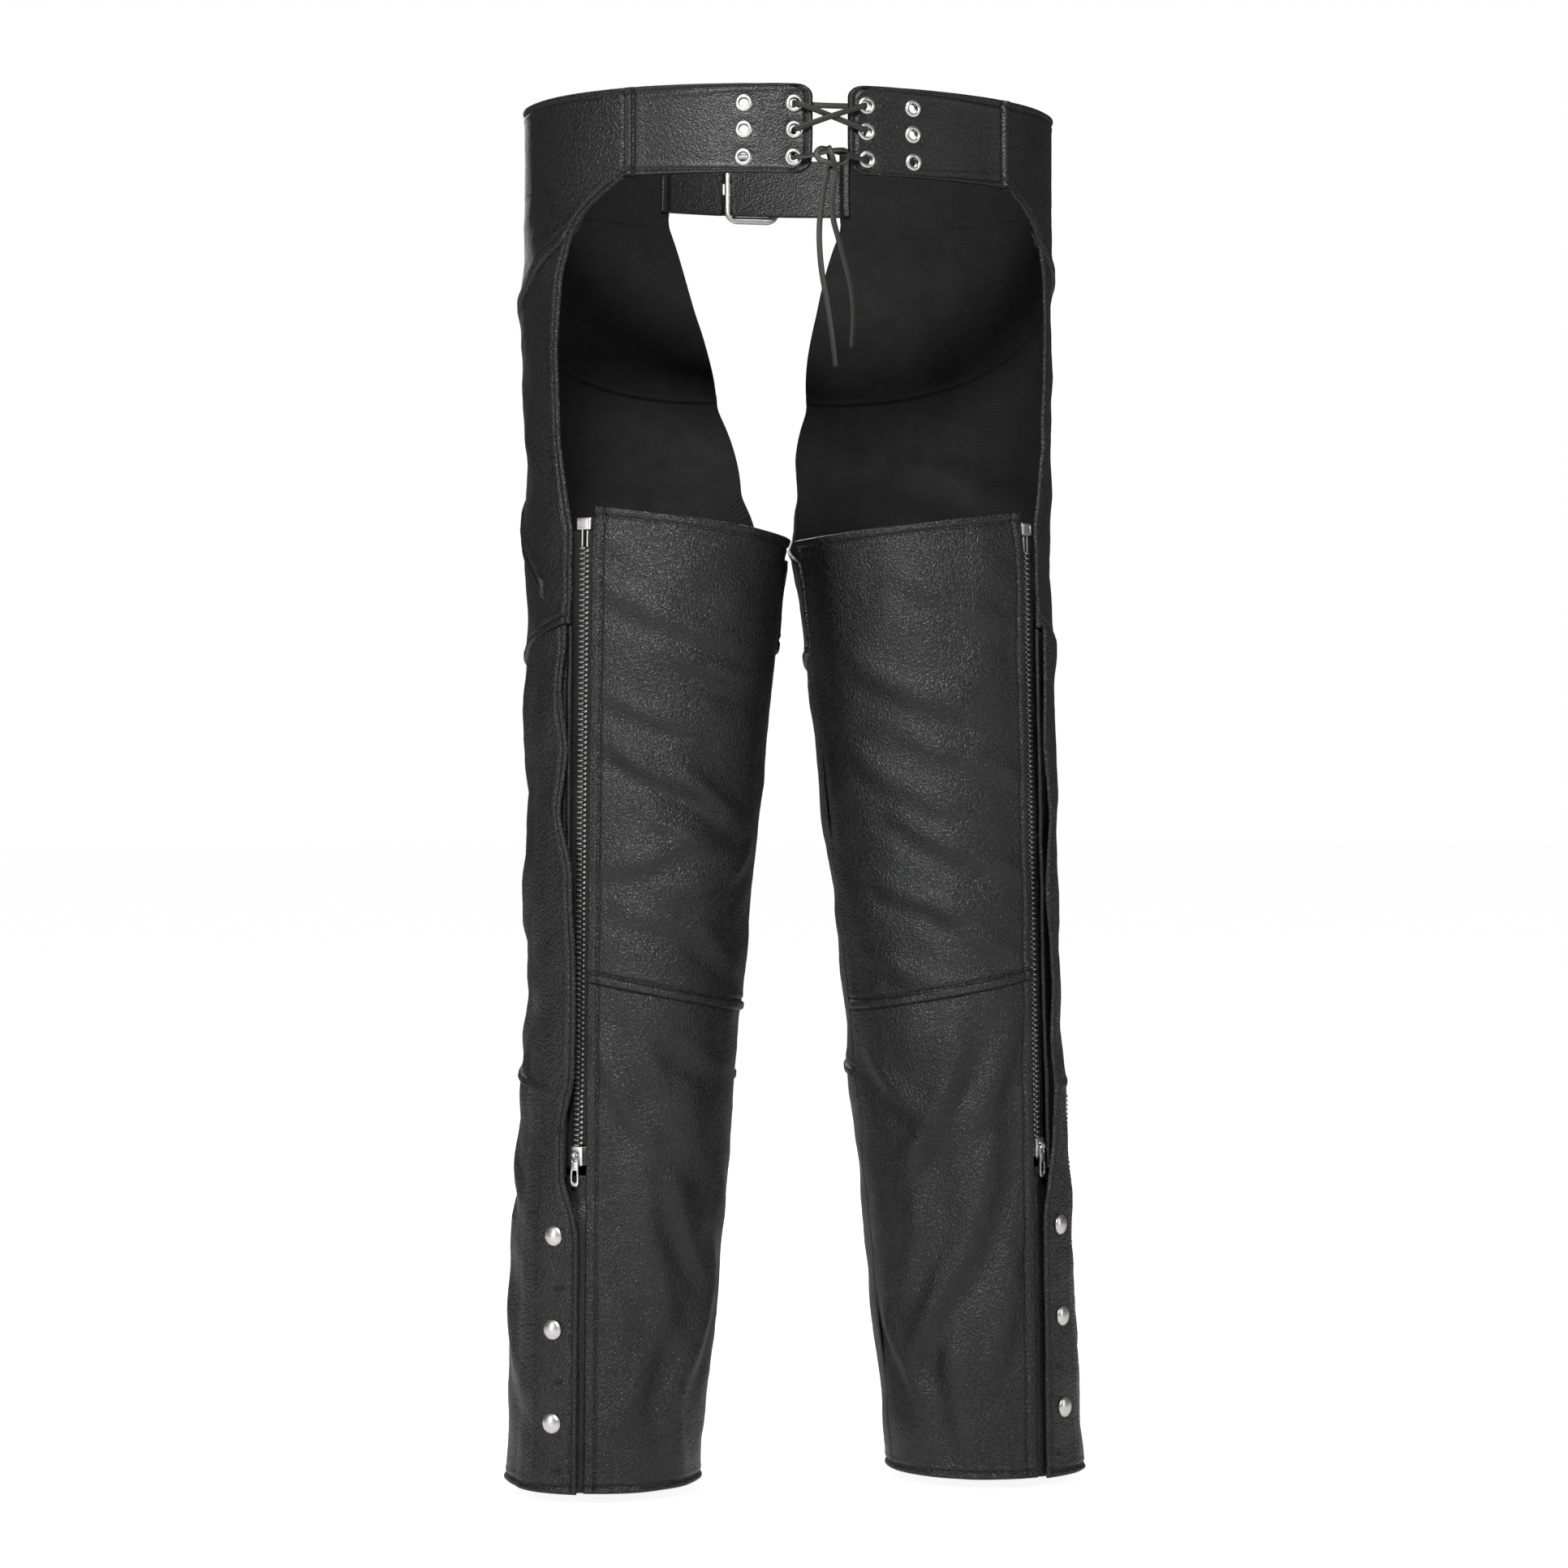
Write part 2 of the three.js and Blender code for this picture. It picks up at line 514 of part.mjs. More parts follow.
function addLace() {
  const [top, middle, bottom] = EYELET_ROWS;
  const column = EYELET_COLUMNS[0];
  // Down one side: out of the top eyelet, over to the middle one, behind to the bottom one.
  const strand = (side, crossing) => [
    [-column, top, 0], [-column + 0.6, top - 0.5, 4.2], [-column + 2.1, top - 2, 5.4], [0, 8.5, crossing],
    [column - 2.1, middle + 2, 5.4], [column - 0.6, middle + 0.5, 4.2], [column, middle, 0],
    [column, middle - 4, -5], [column, bottom + 4, -5], [column, bottom, 0],
    [column - 0.8, bottom, 4.2], [column - 2.4, bottom, 5.6], [1, bottom, 7.5],
  ].map(([angle, z, offset]) => onBody(90 - side * angle, z, offset).toArray());
  const bar = [
    [-column, top, 0], [-column + 0.8, top, -5], [0, top, -5.5], [column - 0.8, top, -5], [column, top, 0],
  ].map(([angle, z, offset]) => onBody(90 - angle, z, offset).toArray());
  const knot = new THREE.SphereGeometry(0.5, 12, 8).scale(...[KNOT_SIZE[0], KNOT_SIZE[2], KNOT_SIZE[1]]);
  const knotCentre = onBody(90, bottom, BELT_THICKNESS / 2 + KNOT_SIZE[2] / 2 + 1.5);
  knot.translate(...knotCentre.toArray());
  add(chaps, 'lace', joined(
    cord(strand(1, 8), 36, LACE_RADIUS),
    cord(strand(-1, 5.6), 36, LACE_RADIUS),
    cord(bar, 12, LACE_RADIUS),
    knot,
  ), laceLeather);
  add(chaps, 'lace_end_L', cord(LACE_LEFT_END, 18, LACE_RADIUS), laceLeather);
  add(chaps, 'lace_end_R', cord(LACE_RIGHT_END, 18, LACE_RADIUS), laceLeather);
}

// ---- Front buckle: a frame over the strap ends and a prong turning on its left bar ----
function addBuckle() {
  const [wide, tall, thick] = BUCKLE_SIZE;
  const face = -WAIST_HALF_DEPTH - BELT_THICKNESS / 2 - 2 * RUN;
  const frame = cutBy(
    box(wide, thick, tall, 0, face - thick / 2, 0),
    box(wide - 2 * BUCKLE_BAR, 3 * thick, tall - 2 * BUCKLE_BAR, 0, face - thick / 2, 0),
  );
  add(chaps, 'buckle_frame', frame, nickel);
  const prongLength = wide - BUCKLE_BAR / 2;
  const prong = new THREE.CylinderGeometry(1.6, 1.8, prongLength, 10).rotateZ(Math.PI / 2);
  prong.translate(wide / 2 - BUCKLE_BAR / 2 - prongLength / 2, face - thick - 1.8 - RUN, 0);
  add(chaps, 'buckle_prong', prong, nickel);
}

// ---- Welt of the slanted pocket on the left thigh ----
function addPocket() {
  const reach = (u, key) => WELT_START[key] + (WELT_END[key] - WELT_START[key]) * u;
  add(chaps, 'pocket_welt', plate(8, 1, (u, v, layer) => onBody(
    reach(u, 'angle'), reach(u, 'z') - WELT_WIDTH * (v - 0.5), LEATHER / 2 + RUN + 0.2 + 1.2 * layer,
  )), leather);
}

// ---- Build one side and its mirror image ----
for (const [tag, mirror] of [['L', 1], ['R', -1]]) {
  const side = new THREE.Group();
  side.scale.x = mirror;
  chaps.add(side);
  addFront(side, tag);
  addBack(side, tag);
  addFlap(side, tag);
  addZip(side, tag);
  addBelt(side, tag);
}
addLace();
addBuckle();
addPocket();

export default chaps;
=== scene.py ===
import math

import bmesh
import bpy
import numpy as np
from mathutils import Matrix, Vector, noise


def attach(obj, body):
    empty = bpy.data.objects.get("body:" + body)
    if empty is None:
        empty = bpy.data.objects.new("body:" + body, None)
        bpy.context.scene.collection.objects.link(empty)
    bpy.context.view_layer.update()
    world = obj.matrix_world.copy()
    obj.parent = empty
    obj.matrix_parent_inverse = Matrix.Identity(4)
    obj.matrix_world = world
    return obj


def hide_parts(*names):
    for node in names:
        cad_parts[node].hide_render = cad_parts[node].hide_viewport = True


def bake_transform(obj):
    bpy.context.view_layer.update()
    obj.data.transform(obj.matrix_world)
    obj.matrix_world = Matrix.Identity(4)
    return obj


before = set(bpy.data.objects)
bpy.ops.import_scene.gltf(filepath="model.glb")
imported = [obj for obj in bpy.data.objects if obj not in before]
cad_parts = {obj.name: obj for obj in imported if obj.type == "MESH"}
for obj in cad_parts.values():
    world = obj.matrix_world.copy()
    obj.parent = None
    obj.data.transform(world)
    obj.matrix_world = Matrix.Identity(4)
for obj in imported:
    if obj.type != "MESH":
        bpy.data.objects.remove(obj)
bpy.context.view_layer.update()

# ---------------------------------------------------------------------------
# Camera. It stands behind the wearer, a little to their left, level with the
# middle of the legs, far enough off for a flat, catalogue-like picture.
# ---------------------------------------------------------------------------
CAMERA_AZIMUTH = 168.5
CAMERA_DISTANCE = 3.0
CAMERA_HEIGHT = -0.4724
CAMERA_ASIDE = 0.0043
PICTURE_WIDTH = 1.188

turn = math.radians(CAMERA_AZIMUTH)
lens = bpy.data.cameras.new("camera")
lens.angle = 2 * math.atan(PICTURE_WIDTH / 2 / CAMERA_DISTANCE)
camera = bpy.data.objects.new("camera", lens)
bpy.context.scene.collection.objects.link(camera)
camera.location = (
    math.sin(turn) * CAMERA_DISTANCE - math.cos(turn) * CAMERA_ASIDE,
    -math.cos(turn) * CAMERA_DISTANCE - math.sin(turn) * CAMERA_ASIDE,
    CAMERA_HEIGHT,
)
camera.rotation_euler = (math.pi / 2, 0, turn)
bpy.context.scene.camera = camera

# ---------------------------------------------------------------------------
# Hip yokes. Soft full-grain cowhide, 2 mm thick over a black twill lining. Each
# goes round the hip from the front to the arch, its free edges are turned and
# stitched once, and its lower edge laps over the thigh panel and is stitched.
# ---------------------------------------------------------------------------
HALF_BELT = 32.5
ZIP_START = (168.6, 67.9, -277.0)
ZIP_LEAN = (0.0139, 0.0213)
ZIP_FOOT = -754.0
FLAP_WIDTH = 42.0
FLAP_EDGE = 9.0
HEM = -989.0
HIDE_THICK = 2.0
LAP = 8.0
# Edge treatments: the kind, and how far in its rows of stitches run.
TURNED = ("turned", 5.2)
OVER = ("over", 8.4)
PLAIN = ("plain",)
TUCKED = ("tucked",)
YOKE_SEAM = (-112.0, 0.0, 0.57)
UPPER_SEAM = (-376.0, 0.0, 0.33)
LOWER_SEAM = (-692.0, 0.0, -0.16)
KNEE_SEAM = (-651.0, 0.2, 0.0)
BACK_TOP = (-289.0, 0.13, 0.0)
# Half widths of the body inside the leather, from the belt down.
HALF_WIDTHS = [(-32.5, 200), (-150, 159.37), (-284, 98), (-432, 89.5), (-640, 79), (-760, 79), (HEM, 72)]
# Soft folds, as (distance behind the zip, height, lean, reach, depth, width).
FOLDS = {
    "L": [
        (62, -352, -24, 60, 1.5, 9), (105, -392, -17, 55, 1.6, 8), (48, -420, -22, 38, 1.1, 7),
        (52, -462, -28, 40, 1.7, 7), (104, -486, -33, 48, 1.9, 8), (74, -508, -30, 30, 1.1, 6),
        (45, -528, 16, 44, 1.2, 8), (112, -540, 22, 46, 1.0, 9), (64, -572, -14, 42, 1.0, 8),
        (120, -596, -30, 36, 1.1, 8), (70, -700, -66, 60, 1.3, 11), (112, -742, -58, 66, 1.3, 12),
        (62, -812, -76, 80, 1.9, 13), (120, -868, 70, 60, 1.6, 12), (92, -935, -80, 44, 1.6, 12),
        (38, -700, -58, 44, 1.5, 9), (96, -668, -28, 40, 1.3, 8), (60, -900, 66, 50, 1.4, 11),
        (96, -800, -60, 50, 1.4, 10),
        (-75, -430, 62, 60, 1.3, 10), (-88, -560, 55, 55, 1.4, 10), (-78, -650, 40, 40, 1.3, 9),
        (-105, -740, -50, 60, 1.4, 11), (-84, -860, -68, 70, 1.5, 12), (-150, -640, 12, 50, 1.6, 10),
        (-165, -600, 24, 44, 1.4, 9), (-170, -690, -12, 50, 1.5, 10), (-180, -330, -30, 60, 1.3, 12),
        (-60, -200, -70, 60, 0.9, 12), (-130, -230, 35, 60, 1.0, 13),
    ],
    "R": [
        (58, -340, 28, 44, 0.9, 9), (96, -402, 24, 62, 1.2, 10), (62, -452, 20, 52, 1.1, 9),
        (112, -470, 32, 46, 1.2, 9), (70, -520, 26, 58, 1.5, 9), (104, -556, 20, 48, 1.3, 8),
        (58, -584, 30, 40, 1.2, 8), (112, -612, 16, 40, 1.1, 8), (48, -694, -60, 60, 1.9, 11),
        (92, -716, -64, 66, 2.3, 11), (128, -700, 40, 36, 1.7, 9), (60, -790, -72, 84, 2.2, 12),
        (112, -806, -78, 66, 1.7, 12), (132, -900, 62, 44, 2.0, 11), (78, -930, 80, 50, 1.7, 12),
        (104, -870, -66, 48, 1.5, 10), (36, -860, -80, 60, 1.4, 10),
        (-70, -470, 66, 60, 1.3, 10), (-84, -580, -52, 52, 1.6, 10), (-90, -628, -36, 36, 1.6, 9),
        (-100, -752, 56, 60, 1.5, 11), (-80, -880, 70, 70, 1.4, 12), (-150, -650, -14, 50, 1.5, 10),
        (-168, -606, 20, 44, 1.4, 9), (-172, -700, 16, 50, 1.4, 10), (-180, -340, 26, 60, 1.3, 12),
        (-64, -210, 68, 60, 0.9, 12), (-135, -240, -30, 60, 1.0, 13),
    ],
}


def socket(tree, name, kind, way, value=None):
    made = tree.interface.new_socket(name, in_out=way, socket_type="NodeSocket" + kind)
    if value is not None:
        made.default_value = value


def node(tree, kind, **settings):
    made = tree.nodes.new("ShaderNode" + kind)
    for name, value in settings.items():
        setattr(made, name, value)
    return made


def wire(tree, start, end):
    tree.links.new(start, end)


def calculation(tree, operation, first, second):
    made = node(tree, "Math", operation=operation)
    for place, value in zip(made.inputs, (first, second)):
        if isinstance(value, (int, float)):
            place.default_value = value
        else:
            wire(tree, value, place)
    return made.outputs[0]


def ranged(tree, value, low, high, to_low, to_high):
    made = node(tree, "MapRange")
    wire(tree, value, made.inputs["Value"])
    for name, number in zip(("From Min", "From Max", "To Min", "To Max"), (low, high, to_low, to_high)):
        made.inputs[name].default_value = number
    return made.outputs["Result"]


# Pebbled grain: rounded cells with creases between them, broken up by finer noise. Besides the height it
# gives a mask for painted light, high on the pebble tops and low in the creases, and broad patches of uneven
# tone.
grain = bpy.data.node_groups.new("hide_grain", "ShaderNodeTree")
socket(grain, "Cells", "Float", "INPUT", 480.0)
socket(grain, "Creases", "Float", "INPUT", 1.0)
socket(grain, "Height", "Float", "OUTPUT")
socket(grain, "Painted Pebble Light", "Float", "OUTPUT")
socket(grain, "Patches", "Float", "OUTPUT")
inside = grain.nodes.new("NodeGroupInput")
outside = grain.nodes.new("NodeGroupOutput")
place = node(grain, "TexCoord")
warp = node(grain, "TexNoise")
warp.inputs["Scale"].default_value = 260.0
warp.inputs["Detail"].default_value = 2.0
wire(grain, place.outputs["Object"], warp.inputs["Vector"])
bend = node(grain, "VectorMath", operation="MULTIPLY_ADD")
wire(grain, warp.outputs["Color"], bend.inputs[0])
bend.inputs[1].default_value = (0.0022, 0.0022, 0.0022)
wire(grain, place.outputs["Object"], bend.inputs[2])
cells = node(grain, "TexVoronoi", feature="F1")
wire(grain, bend.outputs[0], cells.inputs["Vector"])
wire(grain, inside.outputs["Cells"], cells.inputs["Scale"])
far_out = calculation(grain, "POWER", ranged(grain, cells.outputs["Distance"], 0.0, 0.72, 0.0, 1.0), 2.0)
small = node(grain, "TexVoronoi", feature="F1")
wire(grain, bend.outputs[0], small.inputs["Vector"])
wire(grain, calculation(grain, "MULTIPLY", inside.outputs["Cells"], 1.9), small.inputs["Scale"])
small_out = calculation(grain, "POWER", ranged(grain, small.outputs["Distance"], 0.0, 0.72, 0.0, 1.0), 2.0)
large_share = calculation(grain, "MULTIPLY", far_out, 0.72)
small_share = calculation(grain, "MULTIPLY", small_out, 0.28)
pebble = calculation(grain, "SUBTRACT", 1.0, calculation(grain, "ADD", large_share, small_share))
creased = calculation(grain, "MULTIPLY", pebble, inside.outputs["Creases"])
fine = node(grain, "TexNoise")
fine.inputs["Scale"].default_value = 1100.0
fine.inputs["Detail"].default_value = 3.0
wire(grain, place.outputs["Object"], fine.inputs["Vector"])
fine_height = calculation(grain, "MULTIPLY", fine.outputs["Fac"], 0.1)
broad = node(grain, "TexNoise")
broad.inputs["Scale"].default_value = 16.0
broad.inputs["Detail"].default_value = 4.0
broad.inputs["Roughness"].default_value = 0.62
wire(grain, place.outputs["Object"], broad.inputs["Vector"])
wire(grain, calculation(grain, "ADD", creased, fine_height), outside.inputs["Height"])
# The pebble shape also goes out as a mask for painted light: painted highlight on the tops, painted shade in
# the creases.
wire(grain, pebble, outside.inputs["Painted Pebble Light"])
wire(grain, ranged(grain, broad.outputs["Fac"], 0.3, 0.7, 0.0, 1.0), outside.inputs["Patches"])


def leather_finish(name, cells_per_metre, depth, dark, light, roughness, creases=1.0):
    """Black hide: painted highlight makes it paler on the tops of the pebbles and painted shade makes it
    darker in the creases, over broad patches of its own uneven tone; it is also duller in the creases.
    """
    made = bpy.data.materials.new(name)
    made.use_nodes = True
    tree = made.node_tree
    shader = tree.nodes["Principled BSDF"]
    hide = tree.nodes.new("ShaderNodeGroup")
    hide.node_tree = grain
    hide.inputs["Cells"].default_value = cells_per_metre
    hide.inputs["Creases"].default_value = creases
    # Colour from dark to light: painted shade in the creases and painted highlight on the pebble tops (0.6 of
    # the mix), and the hide's own uneven tone from broad patches (0.4).
    tone = node(tree, "Mix", data_type="RGBA")
    tone.inputs["A"].default_value = (*dark, 1)
    tone.inputs["B"].default_value = (*light, 1)
    share = calculation(tree, "MULTIPLY", hide.outputs["Painted Pebble Light"], 0.6)
    share = calculation(tree, "ADD", share, calculation(tree, "MULTIPLY", hide.outputs["Patches"], 0.4))
    wire(tree, share, tone.inputs["Factor"])
    wire(tree, tone.outputs["Result"], shader.inputs["Base Color"])
    rough = ranged(tree, share, 0.0, 1.0, roughness + 0.1, roughness - 0.06)
    wire(tree, rough, shader.inputs["Roughness"])
    bump = node(tree, "Bump")
    bump.inputs["Strength"].default_value = 1.0
    bump.inputs["Distance"].default_value = depth
    wire(tree, hide.outputs["Height"], bump.inputs["Height"])
    wire(tree, bump.outputs["Normal"], shader.inputs["Normal"])
    shader.inputs["Specular IOR Level"].default_value = 0.4
    return made


# Its dark and light colours are painted shade in the creases and painted highlight on the pebble tops, mixed
# with its own uneven tone.
hide_black = leather_finish(
    "hide_black", 540, 0.00056, (0.001, 0.001, 0.0011), (0.0145, 0.0145, 0.0149), 0.335)


def thread_finish():
    """Bonded black thread: a tight twist seen as fine slanted bands."""
    made = bpy.data.materials.new("thread_black")
    made.use_nodes = True
    tree = made.node_tree
    shader = tree.nodes["Principled BSDF"]
    place = node(tree, "TexCoord")
    twist = node(tree, "TexWave", wave_type="BANDS", bands_direction="DIAGONAL")
    twist.inputs["Scale"].default_value = 700.0
    twist.inputs["Distortion"].default_value = 1.0
    wire(tree, place.outputs["Object"], twist.inputs["Vector"])
    tone = node(tree, "Mix", data_type="RGBA")
    tone.inputs["A"].default_value = (0.004, 0.004, 0.004, 1)
    tone.inputs["B"].default_value = (0.012, 0.012, 0.012, 1)
    wire(tree, twist.outputs["Fac"], tone.inputs["Factor"])
    wire(tree, tone.outputs["Result"], shader.inputs["Base Color"])
    wire(tree, ranged(tree, twist.outputs["Fac"], 0, 1, 0.7, 0.5), shader.inputs["Roughness"])
    return made


def lining_finish():
    """Black satin lining: a fine twill with a soft sheen."""
    made = bpy.data.materials.new("lining_black")
    made.use_nodes = True
    tree = made.node_tree
    shader = tree.nodes["Principled BSDF"]
    place = node(tree, "TexCoord")
    twill = node(tree, "TexWave", wave_type="BANDS", bands_direction="DIAGONAL")
    twill.inputs["Scale"].default_value = 330.0
    twill.inputs["Distortion"].default_value = 0.6
    wire(tree, place.outputs["Object"], twill.inputs["Vector"])
    slub = node(tree, "TexNoise")
    slub.inputs["Scale"].default_value = 60.0
    slub.inputs["Detail"].default_value = 3.0
    wire(tree, place.outputs["Object"], slub.inputs["Vector"])
    share = calculation(tree, "MULTIPLY", twill.outputs["Fac"], slub.outputs["Fac"])
    tone = node(tree, "Mix", data_type="RGBA")
    tone.inputs["A"].default_value = (0.003, 0.003, 0.0033, 1)
    tone.inputs["B"].default_value = (0.013, 0.013, 0.0138, 1)
    wire(tree, share, tone.inputs["Factor"])
    wire(tree, tone.outputs["Result"], shader.inputs["Base Color"])
    wire(tree, ranged(tree, share, 0, 0.6, 0.85, 0.7), shader.inputs["Roughness"])
    shader.inputs["Specular IOR Level"].default_value = 0.25
    bump = node(tree, "Bump")
    bump.inputs["Distance"].default_value = 0.00015
    wire(tree, share, bump.inputs["Height"])
    wire(tree, bump.outputs["Normal"], shader.inputs["Normal"])
    return made


thread_black = thread_finish()
lining_black = lining_finish()


def make_piece(name, points, faces, finish, in_millimetres=True):
    """A smooth mesh object at the origin, from points and faces."""
    mesh = bpy.data.meshes.new(name)
    scale = 0.001 if in_millimetres else 1.0
    mesh.from_pydata([tuple(scale * float(c) for c in p) for p in points], [], faces)
    mesh.validate()
    mesh.polygons.foreach_set("use_smooth", [True] * len(mesh.polygons))
    mesh.materials.append(finish)
    made = bpy.data.objects.new(name, mesh)
    bpy.context.scene.collection.objects.link(made)
    return made


def zip_x(z):
    return ZIP_START[0] + ZIP_LEAN[0] * (ZIP_START[2] - z)


def zip_y(z):
    return ZIP_START[1] + ZIP_LEAN[1] * (ZIP_START[2] - z)


def between(pairs, z, soft=0.0):
    """Values given at heights, read at z; soft rounds the corners over that many millimetres."""
    heights = [h for h, _ in pairs][::-1]
    values = [v for _, v in pairs][::-1]
    if not soft:
        return np.interp(z, heights, values)
    steps = np.linspace(-1, 1, 9)
    weights = np.exp(-2 * steps ** 2)
    return sum(w * np.interp(z + s * soft, heights, values) for s, w in zip(steps, weights)) / weights.sum()


def leg_form(z):
    """Centre, half width, half depth and set-back of the form inside the leather at a height."""
    z = np.asarray(z, float)
    centre = between([(-32.5, 0), (-150, 42.63), (-284, 101.5), (-640, 122), (HEM, 147)], z, 30)
    width = between(HALF_WIDTHS, z, 30)
    setback = between([(-284, 0), (HEM, 20)], z)
    leg_z = np.minimum(z, ZIP_START[2])
    leg_centre = between([(-284, 101.5), (-640, 122), (HEM, 147)], leg_z, 30)
    leg_width = between(HALF_WIDTHS, leg_z, 30)
    share = (zip_x(leg_z) - leg_centre) / leg_width
    leg_depth = (zip_y(leg_z) - setback) / np.sqrt(1 - share ** 2)
    t = np.clip((z - ZIP_START[2]) / (-HALF_BELT - ZIP_START[2]), 0, 1)
    return centre, width, leg_depth + (146 - leg_depth) * t * t * (3 - 2 * t), setback


def on_body(angle, z, offset):
    """Points of the left side, in millimetres: angle 0 outwards, 90 to the back, 180 inwards."""
    centre, width, depth, setback = leg_form(z)
    c, s = np.cos(np.radians(angle)), np.sin(np.radians(angle))
    nx, ny = c / width, s / depth
    size = np.hypot(nx, ny)
    return np.stack([centre + width * c + offset * nx / size,
                     setback + depth * s + offset * ny / size,
                     np.broadcast_to(z, np.shape(angle * z)).astype(float)], -1)


def beside_zip(z, distance):
    """The angle a distance round from the line of the zip, positive to the back."""
    centre, width, depth, setback = leg_form(z)
    start = np.arctan2((zip_y(z) - setback) / depth, (zip_x(z) - centre) / width)
    reach = np.hypot(width * np.sin(start), depth * np.cos(start))
    return np.degrees(start + distance / reach)


def inseam(z):
    return 180 - np.degrees(np.arcsin(10 / leg_form(z)[2]))


def flap_base(z):
    return beside_zip(z, -FLAP_EDGE - FLAP_WIDTH)


def flap_edge(z):
    return beside_zip(z, -between([(ZIP_FOOT - 6, FLAP_EDGE), (ZIP_FOOT - 40, -1)], z, 8))


def back_reveal(z):
    return beside_zip(z, 8.0)


def arch_edge(z):
    arch = between([(-32.5, 45), (-46, 38), (-58, 33), (-72, 29.5), (-100, 26.5), (-153, 26.5),
                    (-220, 31), (-285, float(flap_edge(-285)))], z, 6)
    return np.where(z > -285, arch, flap_edge(z))


def front_edge(z):
    return between([(-32.5, -70), (-100, -82), (-180, -98), (-250, -124), (-290, -152),
                    (-304, float(inseam(-284)) - 359.6)], z, 8)


def seam_height(seam, angle_at, z):
    """Height where a column of leather meets a slanted seam (height, rise in X, rise in Y)."""
    z = np.full(np.shape(z), float(seam[0]))
    for _ in range(12):
        p = on_body(angle_at(z), z, 0.0)
        z = seam[0] + seam[1] * p[..., 0] + seam[2] * p[..., 1]
    return z


def step(value, low, high):
    t = np.clip((value - low) / (high - low), 0, 1)
    return t * t * (3 - 2 * t)


def crease(s, z, at, lean, reach, deep, wide):
    """One soft fold: a ridge with a hollow under it, along a slanted line through at = (s, z)."""
    a = math.radians(lean)
    along = (s - at[0]) * math.cos(a) + (z - at[1]) * math.sin(a)
    across = -(s - at[0]) * math.sin(a) + (z - at[1]) * math.cos(a) - 0.0022 * along ** 2
    fade = np.exp(-(along / reach) ** 4)
    return deep * fade * (np.exp(-(across / wide) ** 2) - 0.8 * np.exp(-((across + 1.7 * wide) / wide) ** 2))


def rumple(p, size, seed):
    """Broad unevenness of hung leather, from slow noise, -1 to 1."""
    flat = p.reshape(-1, 3) / size
    shift = Vector((seed * 7.3, seed * 3.1, seed * 5.7))
    values = [noise.noise(Vector(q) + shift) for q in flat]
    return np.array(values).reshape(p.shape[:-1])


def hang(tag, angle, z, p):
    """How far the leather stands off its form: folds and slow unevenness, calm by the zip and the belt."""
    s = np.radians(angle - beside_zip(z, 0)) * 84
    calm = np.clip(np.abs(s) / 26, 0, 1)
    calm = calm * calm * (3 - 2 * calm) * np.clip((-38 - z) / 40, 0, 1) * np.clip((184 - s) / 14, 0, 1)
    off = sum(crease(s, z, (a, b), *rest) for a, b, *rest in FOLDS[tag])
    crotch = np.exp(-((z + 300) / 60) ** 2) * step(s, 105, 150)
    off = off * (1 - crotch)
    seed = 1 if tag == "L" else 2
    off = off + 1.5 * rumple(p, 62, seed) + 0.75 * rumple(p, 27, seed + 4)
    fine = rumple(p * np.array([1.0, 1.0, 1.6]), 11, seed + 8)
    return 1.9 * calm * off * (1 - crotch) - 1.4 * crotch + 0.25 * fine * np.clip((-36 - z) / 10, 0, 1)


def gridded(length, coarse=3.3):
    """Shares of a length: close together at both ends, where the leather turns over."""
    near = [0, 0.15, 0.5, 1.0, 1.6, 2.3, 3.1, 4.0, 4.9, 5.7, 6.4, 7.1, 7.8, 8.5, 9.2, 10, 11, 12.5]
    near = [n for n in near if n < 0.42 * length]
    middle = np.linspace(near[-1], length - near[-1], max(3, int((length - 2 * near[-1]) / coarse) + 2))
    return np.concatenate([near[:-1], middle, length - np.array(near[:-1])[::-1]]) / length


def stitch_row(route, outward, stitches, pitch=3.3):
    """Adds short, fat stitches along a route to a list of (middle, direction, outward)."""
    steps = np.linalg.norm(np.diff(route, axis=0), axis=1)
    run = np.concatenate([[0], np.cumsum(steps)])
    for place in np.arange(pitch, run[-1] - pitch / 2, pitch):
        at = np.array([np.interp(place, run, route[:, k]) for k in range(3)])
        ahead = np.array([np.interp(place + 0.8, run, route[:, k]) for k in range(3)]) - at
        out = np.array([np.interp(place, run, outward[:, k]) for k in range(3)])
        stitches.append((at, ahead, out))


def sew(name, stitches, mirror, long=2.5, thick=0.42):
    """All the stitches of one piece, each a small capsule that sinks in at its ends."""
    points, faces = [], []
    ring = [(math.cos(k * math.pi / 3), math.sin(k * math.pi / 3)) for k in range(6)]
    for at, ahead, out in stitches:
        ahead = ahead / np.linalg.norm(ahead)
        out = out - ahead * out.dot(ahead)
        out /= np.linalg.norm(out)
        aside = np.cross(ahead, out)
        first = len(points)
        points.append(at - ahead * long / 2 - out * 0.2)
        for t in (-0.3, 0.3):
            for c, s in ring:
                points.append(at + ahead * long * t + aside * c * thick + out * (s * thick + 0.12))
        points.append(at + ahead * long / 2 - out * 0.2)
        for k in range(6):
            k2 = (k + 1) % 6
            faces.append((first, first + 1 + k2, first + 1 + k))
            faces.append((first + 1 + k, first + 1 + k2, first + 7 + k2, first + 7 + k))
            faces.append((first + 13, first + 7 + k, first + 7 + k2))
    points = np.array(points)
    if mirror:
        points = points * np.array([-1, 1, 1])
        faces = [f[::-1] for f in faces]
    made = make_piece(name, points, faces, thread_black)
    return made


